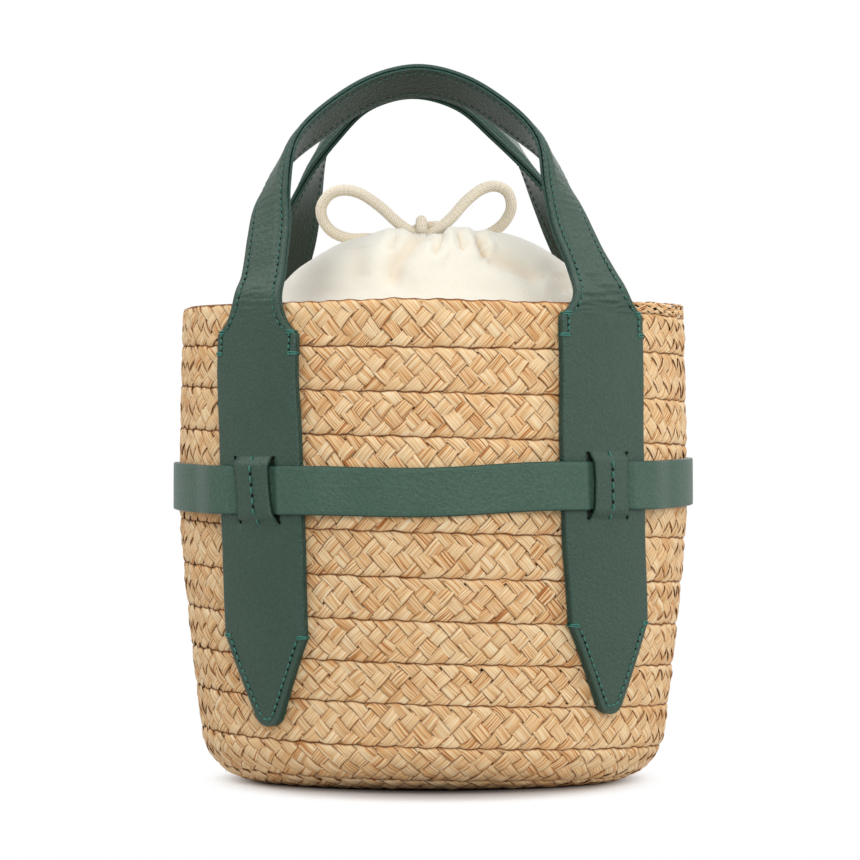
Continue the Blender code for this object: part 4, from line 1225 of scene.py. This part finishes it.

# %% [markdown]
# The thread shows as short stitches that dive into holes, along both edges of the handles, round
# the tips of the tabs and down the bridges, and as thick bars sewn over the edges where a seam ends.
# Each is a short bent tube, and each hole is a near-black tube at the leather's face, painted shade
# of the hole; on the handles' edges the thread itself darkens with painted shade. All the stitches
# of a handle are one array: a template of a few rings, laid along the seam by its direction and the
# leather's normal.

# %% Thread
THREAD = 0.00043
STITCH_PITCH = 0.0031
SHOULDER_PITCH = 0.0026
BRIDGE_PITCH = 0.0042
STITCH_SHARE = 0.60
THREAD_SIDES = 6
STITCH_PLACES = np.array([-0.5, -0.40, -0.2, 0.0, 0.2, 0.40, 0.5])
STITCH_ARCH = np.array([-0.9, 0.25, 0.6, 0.7, 0.6, 0.25, -0.9])
STITCH_SWELL = np.array([0.55, 0.9, 1.0, 1.0, 1.0, 0.9, 0.55])
HOLE = 0.00085
HOLE_DEPTH = 0.12
HOLE_RISE = 0.00002
HOLE_NARROW = 0.9
NEAR_FACE = 0.001
TACK_WAY = np.array([-0.0031, -0.0027, -0.0014, -0.0003, 0.0003, 0.0004, 0.0001])
TACK_RISE = np.array([-0.0006, 0.0001, 0.0003, 0.0001, -0.0006])
TACK_FOOT = (0.0018, 0.0003)
TACK_THREADS = ((-0.0003, 0.0003), (0.0004, -0.0002))
TACK_SHARE = 0.9
SEAM_STEP = 0.0005
THREAD_COLOURS = ((0.012, 0.095, 0.070), (0.032, 0.20, 0.155))
# The colour the thread takes in its painted shade.
THREAD_SHADE = (0.012, 0.045, 0.032)
# Near-black colours of the needle holes: painted shade inside them.
HOLE_SHADE_COLOURS = ((0.004, 0.006, 0.005), (0.012, 0.018, 0.014))


def paint_thread(wire):
    twist = wire.noise(wire.place(), 2500.0)
    bright = wire.mix(twist, *THREAD_COLOURS)
    # Painted shade: the thread darkens on the handles' edges, and more on the lining under the arch.
    return {"Base_Color": wire.mix(wire.value("worn"), bright, THREAD_SHADE),
            "Normal": wire.bump(twist, 0.0001, 0.6)}


def paint_hole_shade(wire):
    # Painted shade: the holes are near black.
    return {"Base_Color": wire.mix(wire.noise(wire.place(), 800.0), *HOLE_SHADE_COLOURS)}


thread_finish = finish("green_thread", paint_thread, Roughness=0.42)
hole_finish = finish("needle_hole", paint_hole_shade, Roughness=0.9, Specular_IOR_Level=0.1)


def thread_tubes(lines, normals, radius):
    """Tubes along many short lines at once (lines by places by xyz), with closed ends."""
    count, places = lines.shape[:2]
    along = unit(np.gradient(lines, axis=1))
    beside = unit(np.cross(along, normals))
    over = np.cross(beside, along)
    angle = np.linspace(0.0, TURN, THREAD_SIDES, endpoint=False)[:, None]
    spokes = np.cos(angle) * beside[:, :, None] + np.sin(angle) * over[:, :, None]
    points = lines[:, :, None] + spokes * np.asarray(radius)[None, :, None, None]
    quads = sweep_quads(places, THREAD_SIDES)
    shift = np.arange(count)[:, None, None] * places * THREAD_SIDES
    return points.reshape(-1, 3), (quads[None] + shift).reshape(-1, 4)


# %% Stitches and seams
def stitches(line, normal, pitch):
    """Stitches along a seam, and a hole between each two: a near-black tube of painted shade. A stitch
    is an arched tube whose ends go down into the leather."""
    middle, up = resample(line, pitch, normal)
    along = unit(np.gradient(middle, axis=0))
    up = unit(up)
    arch = STITCH_ARCH * THREAD
    reach = (STITCH_PLACES * STITCH_SHARE * pitch)[:, None]
    lines = middle[:, None] + along[:, None] * reach + up[:, None] * arch[:, None]
    ups = np.repeat(up[:, None], len(STITCH_PLACES), axis=1)
    tubes = thread_tubes(lines, ups, THREAD * STITCH_SWELL)
    between = (middle[1:] + middle[:-1]) / 2
    pit = np.array([-0.5, 0.5]) * 2 * HOLE
    deep = (pit * HOLE_DEPTH + HOLE_RISE)[:, None]
    drill = between[:, None] + unit(up[1:] + up[:-1])[:, None] * deep
    ways = np.repeat(along[1:, None], 2, axis=1)
    return tubes, thread_tubes(drill, ways, [HOLE, HOLE * HOLE_NARROW])


def seam(rows, picked, sign, layer):
    """The seam along one edge of a handle, on its outer face or its lining: points and normals."""
    part = [values[picked] for values in rows]
    u = (sign * (part[3] - STITCH_INSET))[:, None]
    way = 1.0 if layer == "outer" else -1.0
    face = 1 if layer == "outer" else 0
    raised = padding(part, u) if layer == "outer" else 0.0 * u
    levels = [on_strip(part, u, TAB_LEVELS[layer][face] + way * (more - CHANNEL) + 0 * u,
                       STRAP_LEVELS[layer][face] + way * (more - CHANNEL) + raised)[:, 0]
              for more in (0.0, NEAR_FACE)]
    return levels[0], unit(levels[1] - levels[0])


def wall_seam(side, route, level):
    """A seam on a tab, by a route of (u, z): its points and normals."""
    laid = smooth_route(route, SEAM_STEP)
    u, z = laid[:, 0], laid[:, 1]
    points = [wall_strip(side, u, z, level(z) + more) for more in (0.0, NEAR_FACE)]
    return points[0], unit(points[1] - points[0])


def bar_tack(side, sign, z):
    """Threads side by side that are sewn over a tab's edge, from the seam to the wall."""
    half = float(tab_half(side, np.float64(z)))
    u = half + TACK_WAY
    out = np.concatenate([TAB_LEVELS["outer"][1] + TACK_RISE, TACK_FOOT])
    lean = np.linspace(-1.0, 1.0, len(u))
    rows = [z + shift + slope * lean for shift, slope in TACK_THREADS]
    lines = np.stack([wall_strip(side, sign * u, row, out) for row in rows])
    ups = np.stack([wall_strip(side, sign * u, row, out + NEAR_FACE) for row in rows])
    return thread_tubes(lines, unit(ups - lines + 1e-6), np.full(len(u), THREAD * TACK_SHARE))


def joined(parts):
    """Points and quads of several arrays as one."""
    shifts = np.cumsum([0] + [len(points) for points, _ in parts[:-1]])
    return (np.concatenate([points for points, _ in parts]),
            np.concatenate([quads + shift for (_, quads), shift in zip(parts, shifts)]))


# %% Sewing the handles
TIP_LOW = TAB_TIP_HEIGHT + 0.0042
BRIDGE_SEAM = 0.0126
SEAM_HALF = TAB_WIDTH / 2 - STITCH_INSET
SEAM_RISE = 0.0025
POINT_INSET = 0.0002
POINT_TURN = TAB_TIP_RADIUS * 0.52
POINT_RISE = 0.55
# Shares of painted shade on the thread of the edge seams and of the lining's seams.
EDGE_STITCH_SHADE = 0.45
LINING_STITCH_SHADE = 0.85
TACK_LIFT = 0.001


def sew(face, rows):
    """All the thread of one handle, and the holes that it goes through."""
    threads, holes = [], []
    height = rows[1] - by_side(rows[0], FLARE_LIFTS)
    edge = np.flatnonzero(height >= FLARE_START + SEAM_RISE)
    # Painted shade on the thread: some on the edge seams, more on the lining's seams, none on the tabs.
    seams = [(*seam(rows, edge, sign, "outer"), STITCH_PITCH, EDGE_STITCH_SHADE) for sign in (-1, 1)]
    arch = np.flatnonzero(rows[1] >= LEG_START)
    seams += [(*seam(rows, arch, sign, "lining"), STITCH_PITCH, LINING_STITCH_SHADE) for sign in (-1, 1)]
    point = [(0.0, TIP_LOW), (POINT_TURN, TIP_LOW + POINT_TURN * POINT_RISE),
             (SEAM_HALF - POINT_INSET, TAB_SHOULDER)]
    point = np.array([(-u, z) for u, z in point[:0:-1]] + point)
    shoulder = np.array([(SEAM_HALF, SEAM_LOW), (SEAM_HALF, FLARE_START)])
    above = np.array([-BRIDGE_SEAM, 0.0, BRIDGE_SEAM])
    top = TAB_LEVELS["outer"][1]
    for side in (-1, 1):
        lift = float(by_side(side, TAB_LIFTS))
        belt = float(by_side(side, BELT_LIFTS))
        tip = wall_seam(side, point + (0.0, lift), lambda z: top - CHANNEL + 0 * z)
        bridge = np.stack([slit_shift(side, above), above + BELT_HEIGHT + belt], axis=1)
        spine = wall_seam(side, bridge, lambda z, s=side: top + bridge_lift(from_belt(s, z)))
        seams += [(*tip, STITCH_PITCH, 0.0), (*spine, BRIDGE_PITCH, 0.0)]
        flare = float(by_side(side, FLARE_LIFTS))
        for sign in (-1, 1):
            route = shoulder * (sign, 1.0) + (0.0, flare)
            short = wall_seam(side, route, lambda z: top - CHANNEL + 0 * z)
            seams.append((*short, SHOULDER_PITCH, 0.0))
            tacks = (SEAM_LOW + flare, FLARE_START + flare + TACK_LIFT, TAB_SHOULDER + lift)
            threads += [bar_tack(side, sign, z) for z in tacks]
    worn = [np.zeros(len(points)) for points, _ in threads]
    for line, normal, pitch, shade_share in seams:
        stitch, hole = stitches(line, normal, pitch)
        threads.append(stitch)
        worn.append(np.full(len(stitch[0]), shade_share))
        holes.append(hole)
    made = []
    kinds = (("stitches", threads, thread_finish), ("needle_holes", holes, hole_finish))
    for name, parts, material in kinds:
        points, quads = joined(parts)
        shade_share = np.concatenate(worn) if name == "stitches" else np.zeros(len(points))
        piece = put(f"{face}_{name}", to_face(points, face), quads, material, "thread", worn=shade_share)
        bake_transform(piece)
        made.append(piece)
    return made


for face, rows in strips.items():
    stitched = sew(face, rows)[0]
    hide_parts(*(f"{face}_{hand}_{node}_thread" for hand in ("left", "right")
                            for node in ("tip", "inner_shoulder", "outer_shoulder", "bridge")))
    print(face, "stitches:", len(stitched.data.polygons), "quads")

# %% [markdown]
# The belt is a plain strap that lies on the straw between the tabs, climbs over each tab's edge,
# dips through a slit, runs under the bridge and comes up again. It is a flat section with rounded
# edges, carried round the tub at a distance that eases between those levels.

# %% The belt
BELT_STATIONS = 240
BELT_ROUND = 0.0007
BELT_RAMP = 0.022
BELT_DIP = 0.0026
BELT_DIP_RUN = 0.0045
BELT_SIDE_RISE = 0.0010
BELT_FACE_SAG = 0.0015
BELT_UNDER = TAB_LEVELS["lining"][1] + CLEARANCE
BELT_OVER = TAB_LEVELS["outer"][1] + CLEARANCE
BELT_ROWS = np.array([0.0, 0.012, 0.035, 0.10, 0.3, 0.5, 0.7, 0.90, 0.965, 0.988, 1.0])
TABS = ((-1, 1, 1), (-1, 3, -1), (1, 3, 1), (1, 5, -1))


def belt_out(u):
    """The belt's distance out of the wall by the way u from a tab's middle: under the bridge, over
    the tab, or on the wall."""
    edge = TAB_WIDTH / 2 + 2 * CLEARANCE
    over = CLEARANCE + (BELT_OVER - CLEARANCE) * ease((edge + BELT_RAMP - u) / BELT_RAMP)
    dip = ease((SLIT_PLACE + BELT_DIP - u) / BELT_DIP_RUN)
    return over + (BELT_UNDER - BELT_OVER) * dip


def belt_runs():
    """Angles, distances out and heights of the belt, run after run from one tab's middle to the
    next. It rises by its sides and sags on its faces as sin^2."""
    level = BELT_HEIGHT + (BELT_ROWS - 0.5)[None, :] * BELT_WIDTH
    pace = tab_pace(level)
    share = np.linspace(0.0, 1.0, BELT_STATIONS)[:, None]
    flat = TAB_WIDTH / 2
    runs = []
    for tab, bow in enumerate((BELT_SIDE_RISE, -BELT_FACE_SAG) * 2):
        ends = []
        for side, quarters, way in (TABS[tab], TABS[(tab + 1) % 4]):
            lift = float(by_side(side, BELT_LIFTS))
            ends.append((quarters * math.pi / 2 + way * tab_middle(side, level + lift), lift))
        (start, low), (end, high) = ends
        end = end + (TURN if tab == 3 else 0.0)
        length = (end - start) * pace
        middle = np.clip((share * length - flat) / (length - 2 * flat), 0.0, 1.0)
        rise = low + (high - low) * ease(middle) + bow * np.sin(math.pi * middle) ** 2
        u = np.minimum(share, 1.0 - share) * length
        keep = slice(1 if tab else None, None)
        columns = (start + (end - start) * share, belt_out(u), level + rise)
        runs.append([values[keep] for values in columns])
    return [np.concatenate(column) for column in zip(*runs)]


angle, out, z = belt_runs()
angle[0] += CLEARANCE / TUB_DEPTH
angle[-1] -= CLEARANCE / TUB_DEPTH
inset = (0.5 - np.abs(BELT_ROWS - 0.5)) * BELT_WIDTH
rounded = np.clip(BELT_ROUND - inset, 0.0, BELT_ROUND)
round_off = (BELT_ROUND - np.sqrt(BELT_ROUND**2 - rounded**2))[None, :]
outer = skin(angle, z, out + BELT_THICKNESS - round_off)
inner = skin(angle, z, out + 0.5 * round_off)
edge = np.tile((inset < EDGE_PAINTED)[None, :] * 1.0, (len(angle), 1)).ravel()
kept = np.ones((len(angle) - 1, len(BELT_ROWS) - 1), bool)
points = np.concatenate([outer.reshape(-1, 3), inner.reshape(-1, 3)])
belt = put("belt_strap", points, plate_quads(kept), belt_finish, "leather",
           bend=np.zeros(2 * len(edge)), edge=np.tile(edge, 2))
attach(belt, "bag")
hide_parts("belt")
print("belt:", round(float(run_of(outer[:, 5])[-1]) * 1000), "mm long")

# %% [markdown]
# The pouch is a sack of cotton cloth that lines the tub and is gathered at the top by the cord. The
# gathers could be simulated, but their main folds are known from the picture, so they are put in by
# formula: puffs between sharp valleys that fan out from the mouth, many short ones and some long.

# %% Cotton
COTTON = (0.75, 0.710, 0.595)
COTTON_LIGHT = (0.84, 0.810, 0.710)
COTTON_FOLD_SHADE = (0.70, 0.52, 0.32)


def paint_cotton(wire):
    """A fine diagonal twill with uneven yarns, and a warm painted shade in the folds."""
    uv = wire.node("UVMap")
    bands = {"Vector": uv, "Scale": 440.0, "Distortion": 0.8, "Detail": 1.0, "Detail Scale": 60.0}
    twill = wire.node("TexWave", {"bands_direction": "DIAGONAL"}, bands)
    slub = wire.noise(wire.spread(uv, 1.0, 6.0, 1.0), 260.0, 3.0)
    shade = twill * 0.3 + slub * 0.7
    colour = wire.mix(shade, COTTON, COTTON_LIGHT)
    # Painted shade: warmer and darker where the cloth lies deep in a fold.
    colour = wire.mix(wire.value("fold") * 0.5, colour, COTTON_FOLD_SHADE)
    return {"Base_Color": colour, "Normal": wire.bump(twill * 0.4 + slub * 0.6, 0.0003, 0.4)}


cotton_finish = finish("cotton_twill", paint_cotton, Roughness=0.9, Sheen_Weight=0.7,
                       Specular_IOR_Level=0.2)
print("cotton:", len(cotton_finish.node_tree.nodes), "shader nodes")

# %% [markdown]
# The crown rises from the wall to the mouth as a soft dome. Its folds are depths that are taken off
# along the dome's normal: long valleys at the back, short ones round the mouth, and on the front
# each fold along a line of its own.

# %% The gathers of the pouch
CLOTH_DEPTH = 0.0053
CLOTH_THICKNESS = 0.0008
CLOTH_GIRTH = 0.6
FLOOR_LEVEL = 0.0050
FLOOR_SHARES = (1, 0.7, 0.4, 0.05)
SIDE_HEIGHTS = (0.180, 0.160, 0.130, 0.100, 0.070, 0.045, 0.026, 0.013)
CROWN_EDGE = TUB_HEIGHT - 0.014
MOUTH_RADIUS = 0.021
MOUTH_START = -0.052
CROWN = (
    (-0.06, 0.0215), (0.0, 0.0258), (0.09, 0.0285), (0.21, 0.0277), (0.34, 0.0232), (0.45, 0.0172),
    (0.54, 0.0092), (0.645, 0.0002), (0.84, -0.0100), (1.0, -0.0140),
)
CROWN_TILTS = (0.12, 0.25)
CROWN_SAG = 0.0014
MOUTH_DIPS = ((0.0022, -0.0010, 0.0058), (-0.0013, 0.0115, 0.0042))
CROWN_ROWS = 92
POUCH_COLUMNS = 480
CROWN_STRETCH = 4
CROWN_STEP = 0.004
SAG_SIDE = (0.012, 0.03)
SAG_DOWN = (0.8, 0.35)
DIP_FRONT = 0.02
DIP_DOWN = (0.5, 0.4)
BACK_BLEND = 0.02
PUFF_ROUND = 0.6
LONG_VALLEYS = np.radians([5, 33, 62, 88, 110, 141, 172])
LONG_FOLD = 0.0046
LONG_SIZES = (0.45, 1.0)
LONG_REACH = (0.13, 0.34)
LONG_DRIFT = 0.10
SHORT_VALLEYS = 34
SHORT_FOLD = 0.0016
SHORT_SIZES = (0.3, 1.0)
SHORT_REACH = (-0.03, 0.14)
SHORT_STRAY = 0.055
SHORT_SLANT = 0.22
SHORT_SHADE = 0.6
SOFT_FOLD = 0.0005
FRONT_SHADE = 0.004
FRONT_EDGE = (0.002, 0.012)
CREASE_WIDTH = 0.002
SIDE_PUFF = 0.25
SIDE_PUFF_PLACE = 2.4
FADE_IN = (0.5, 6.0)
FADE_OUT = 4.0
FRONT_FOLDS = (
    (0.0026, 0.0014, ((-0.0150, 0.2292), (-0.0165, 0.2255), (-0.0182, 0.2220))),
    (0.0034, 0.0042, ((-0.0035, 0.2300), (-0.0098, 0.2231), (-0.0144, 0.2169), (-0.0160, 0.2050))),
    (0.0014, 0.0012, ((-0.0006, 0.2285), (0.0010, 0.2250), (0.0025, 0.2215))),
    (0.0032, 0.0016, ((0.0046, 0.2310), (0.0036, 0.2248), (0.0002, 0.2185))),
    (0.0034, 0.0014, ((0.0112, 0.2310), (0.0130, 0.2248), (0.0146, 0.2212))),
    (0.0052, 0.0015, ((0.0190, 0.2290), (0.0212, 0.2242), (0.0240, 0.2202))),
    (0.0027, 0.0038, ((0.0236, 0.2206), (0.0307, 0.2177), (0.0391, 0.2135), (0.0480, 0.2080))),
    (0.0026, 0.0012, ((0.0200, 0.2275), (0.0228, 0.2273), (0.0246, 0.2266))),
    (0.0012, 0.0055, ((-0.0300, 0.2250), (-0.0290, 0.2148), (-0.0277, 0.2073))),
    (0.0016, 0.0040, ((0.0540, 0.2140), (0.0555, 0.2100), (0.0575, 0.2040))),
)


def puffs(angle, valleys, depths):
    """How deep a place lies in the valleys, from 0 on a puff's top: d (1 - sin(pi s)^p) for the share
    s of the way from one valley to the next, with each valley's own depth d."""
    edges = np.append(valleys, valleys[0] + TURN)
    sizes = np.append(depths, depths[0])
    wrapped = (angle - edges[0]) % TURN + edges[0]
    after = np.clip(np.searchsorted(edges, wrapped, side="right"), 1, len(edges) - 1)
    wide = edges[after] - edges[after - 1]
    share = np.clip((wrapped - edges[after - 1]) / wide, 0.0, 1.0)
    size = sizes[after - 1] + (sizes[after] - sizes[after - 1]) * ease(share)
    return size * (1.0 - np.sin(math.pi * share) ** PUFF_ROUND)


def front_folds(shape):
    """Depth in the folds of the front, each a line in the view from the front. At the distance r from
    the line it is d (e^-(r/w)^p - e^-(r/w - 2.4)^2 / 4), a valley with a low puff on either side; a
    narrow fold is a crease (p = 1), and a wide one is round. Folds fade towards their ends."""
    sink = np.zeros(shape.shape[:-1])
    place = shape[..., [0, 2]]
    for depth, width, route in FRONT_FOLDS:
        line = smooth_route(route, width / 4)
        far = np.full(sink.shape, np.inf)
        fade = np.zeros(sink.shape)
        for share, point in zip(np.linspace(0.0, 1.0, len(line)), line):
            reach = np.linalg.norm(place - point, axis=-1)
            nearer = reach < far
            far = np.where(nearer, reach, far)
            strength = min(1.0, FADE_IN[1] * share + FADE_IN[0], FADE_OUT * (1.0 - share))
            fade = np.where(nearer, strength, fade)
        power = 1.0 if width < CREASE_WIDTH else 2.0
        across = far / width
        beside = SIDE_PUFF * np.exp(-((across - SIDE_PUFF_PLACE) ** 2))
        sink += depth * fade * (np.exp(-(across**power)) - beside)
    return sink * ease((-shape[..., 1] - FRONT_EDGE[0]) / FRONT_EDGE[1])


def crown_shape(q, angle):
    """The gathered top without folds: q runs from 0 at the mouth to 1 at the wall. Its profile is a
    smooth curve through the crown's own points. The left hangs a little lower, and the front edge
    of the mouth dips under the knot."""
    edge_width, edge_depth = half_axes(CROWN_EDGE, -CLOTH_DEPTH)
    shares, heights = np.array(CROWN).T
    curve = smooth_route(np.stack([shares, heights * CROWN_STRETCH], axis=1), CROWN_STEP)
    height = np.interp(q, curve[:, 0], curve[:, 1] / CROWN_STRETCH)
    x = (MOUTH_RADIUS + (edge_width - MOUTH_RADIUS) * q) * np.cos(angle)
    y = (MOUTH_RADIUS + (edge_depth - MOUTH_RADIUS) * q) * np.sin(angle)
    sag = CROWN_SAG * ease((-x - SAG_SIDE[0]) / SAG_SIDE[1]) * ease((SAG_DOWN[0] - q) / SAG_DOWN[1])
    dips = sum(deep * np.exp(-(((x - place) / wide) ** 2)) for deep, place, wide in MOUTH_DIPS)
    drop = sag + dips * ease(-y / DIP_FRONT) * ease((DIP_DOWN[0] - q) / DIP_DOWN[1])
    tilt = np.where(y < 0, *CROWN_TILTS) * (1.0 - q) * y
    return np.stack([x, y, TUB_HEIGHT + height - tilt - drop], axis=-1)


def gathered(q, angle):
    """The crown with its folds, and how deep each place lies in one, which sets the painted shade in
    the folds. The folds sink in along the surface's normal."""
    shape = crown_shape(q, angle)
    back = ease(shape[..., 1] / BACK_BLEND + 0.5)
    drift = LONG_DRIFT * np.sin(3 * angle + 1.0) * q
    long = puffs(angle + drift, LONG_VALLEYS, folds.uniform(*LONG_SIZES, len(LONG_VALLEYS)))
    long = long * np.exp(-(((q - LONG_REACH[0]) / LONG_REACH[1]) ** 2)) * back
    steps = np.linspace(0.0, TURN, SHORT_VALLEYS, endpoint=False)
    steps = steps + folds.uniform(-SHORT_STRAY, SHORT_STRAY, SHORT_VALLEYS)
    short = puffs(angle - SHORT_SLANT * q, steps, folds.uniform(*SHORT_SIZES, SHORT_VALLEYS))
    short = short * np.exp(-(((q - SHORT_REACH[0]) / SHORT_REACH[1]) ** 2))
    soft = np.sin(7 * angle + 9 * q) * np.sin(5 * angle - 13 * q + 2.0)
    soft = soft * np.sin(math.pi * np.clip(q, 0, 1))
    front = front_folds(shape)
    sink = LONG_FOLD * long + SHORT_FOLD * short + SOFT_FOLD * soft + front
    along = np.gradient(shape, axis=0)
    around = np.roll(shape, -1, axis=1) - np.roll(shape, 1, axis=1)
    normal = unit(np.cross(along, around))
    normal = normal * np.sign(normal[..., 2:])
    shade = np.clip(long + SHORT_SHADE * short + front / FRONT_SHADE, 0.0, 1.0)
    return shape - normal * sink[..., None], shade


# %% [markdown]
# The cloth is one net of points: the gathered top, the sides along the wall and the floor. Cloth has
# two sides, so a Solidify modifier gives the net its thickness.

# %% The cloth of the pouch
folds = np.random.default_rng(5)
angle = np.linspace(0.0, TURN, POUCH_COLUMNS, endpoint=False)[None, :]
crown, fold = gathered(np.linspace(MOUTH_START, 1.0, CROWN_ROWS)[:, None] + 0 * angle, angle)
level = 0 * angle
sides = [skin(angle, z + level, level - CLOTH_DEPTH) for z in SIDE_HEIGHTS]
floor = skin(angle, FLOOR_LEVEL + level, level - CLOTH_DEPTH)
floor = [floor * np.array([share, share, 1.0]) for share in FLOOR_SHARES]
cloth = np.concatenate([crown, *(ring.reshape(1, -1, 3) for ring in sides + floor)])
down = run_of(cloth[:, POUCH_COLUMNS // 4])
around = np.linspace(0.0, CLOTH_GIRTH, POUCH_COLUMNS)
uv = np.stack(np.broadcast_arrays(around[None, :], down[:, None]), axis=-1)
quads = sweep_quads(len(cloth), POUCH_COLUMNS)[:-(POUCH_COLUMNS - 2)]
last = (len(cloth) - 1) * POUCH_COLUMNS
near = np.arange(POUCH_COLUMNS // 2 - 1)
bottom = np.stack([near, near + 1, POUCH_COLUMNS - 2 - near, POUCH_COLUMNS - 1 - near], axis=-1) + last
fold = np.concatenate([fold.ravel(), np.zeros(cloth[..., 0].size - fold.size)])
pouch = put("pouch_cloth", cloth, np.concatenate([quads, bottom]), cotton_finish, "cotton", uv,
            closed=False, fold=fold)
thick = pouch.modifiers.new("cloth", "SOLIDIFY")
thick.thickness = CLOTH_THICKNESS
thick.offset = 0.0
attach(pouch, "bag")
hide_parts("pouch_crown", "pouch_lining")
print("pouch:", len(pouch.data.polygons), "quads")

# %% [markdown]
# The mouth's hem is a channel that the cord runs in. Drawn tight it ruffles, so its round section
# swells and shrinks along the ring. It is open at the back, where the cord comes out.

# %% The hem and the cord in it
HEM_RADIUS = 0.015
HEM_THICKNESS = 0.0086
HEM_LIFT = 0.0256
HEM_TILT = 0.12
HEM_GAP = math.radians(80)
HEM_RUFFLES = 26
HEM_RUFFLE = 0.0007
HEM_DRIFT = 0.6
RUFFLE_POWER = 0.7
RUFFLE_MIDDLE = 0.8
HEM_FLATTENED = 0.0014
HEM_FRONT = 0.5
HEM_UNEVEN = 0.0003
HEM_UV = (0.02, 0.004)
HEM_STATIONS = 420
HEM_SIDES = 20


def hem_line(turn):
    """Centre line of the hem: a tilted circle."""
    y = HEM_RADIUS * np.sin(turn)
    return np.stack([HEM_RADIUS * np.cos(turn), y, TUB_HEIGHT + HEM_LIFT - HEM_TILT * y], axis=-1)


turn = np.linspace(HEM_GAP / 2, TURN - HEM_GAP / 2, HEM_STATIONS) + math.pi / 2
around = np.linspace(0.0, TURN, HEM_SIDES, endpoint=False)[None, :]
radial = np.stack([np.cos(turn), np.sin(turn), 0 * turn], axis=1)[:, None]
spokes = radial * np.cos(around)[..., None] + UP * np.sin(around)[..., None]
ruffle = np.abs(np.sin(HEM_RUFFLES / 2 * turn + HEM_DRIFT * np.sin(3 * turn)))[:, None] ** RUFFLE_POWER
front = np.exp(-(((turn - 1.5 * math.pi) / HEM_FRONT) ** 2))[:, None]
swell = HEM_THICKNESS / 2 + HEM_RUFFLE * (ruffle - RUFFLE_MIDDLE) - HEM_FLATTENED * front
swell = swell + HEM_UNEVEN * np.sin(around * 2 + 5 * turn[:, None])
uv = np.stack(np.broadcast_arrays(HEM_UV[0] * turn[:, None], HEM_UV[1] * around), axis=-1)
hem = put("pouch_hem_ruffle", hem_line(turn)[:, None] + spokes * swell[..., None],
          sweep_quads(HEM_STATIONS, HEM_SIDES), cotton_finish, "cotton", uv)
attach(hem, "bag")
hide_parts("pouch_hem")
print("hem:", len(hem.data.polygons), "quads")
held = plaited_tube("cord_in_hem", hem_line(turn[4:-4:2]), (0.0, 0.12, 1.0))
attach(held, "bag")
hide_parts("drawstring_in_hem")
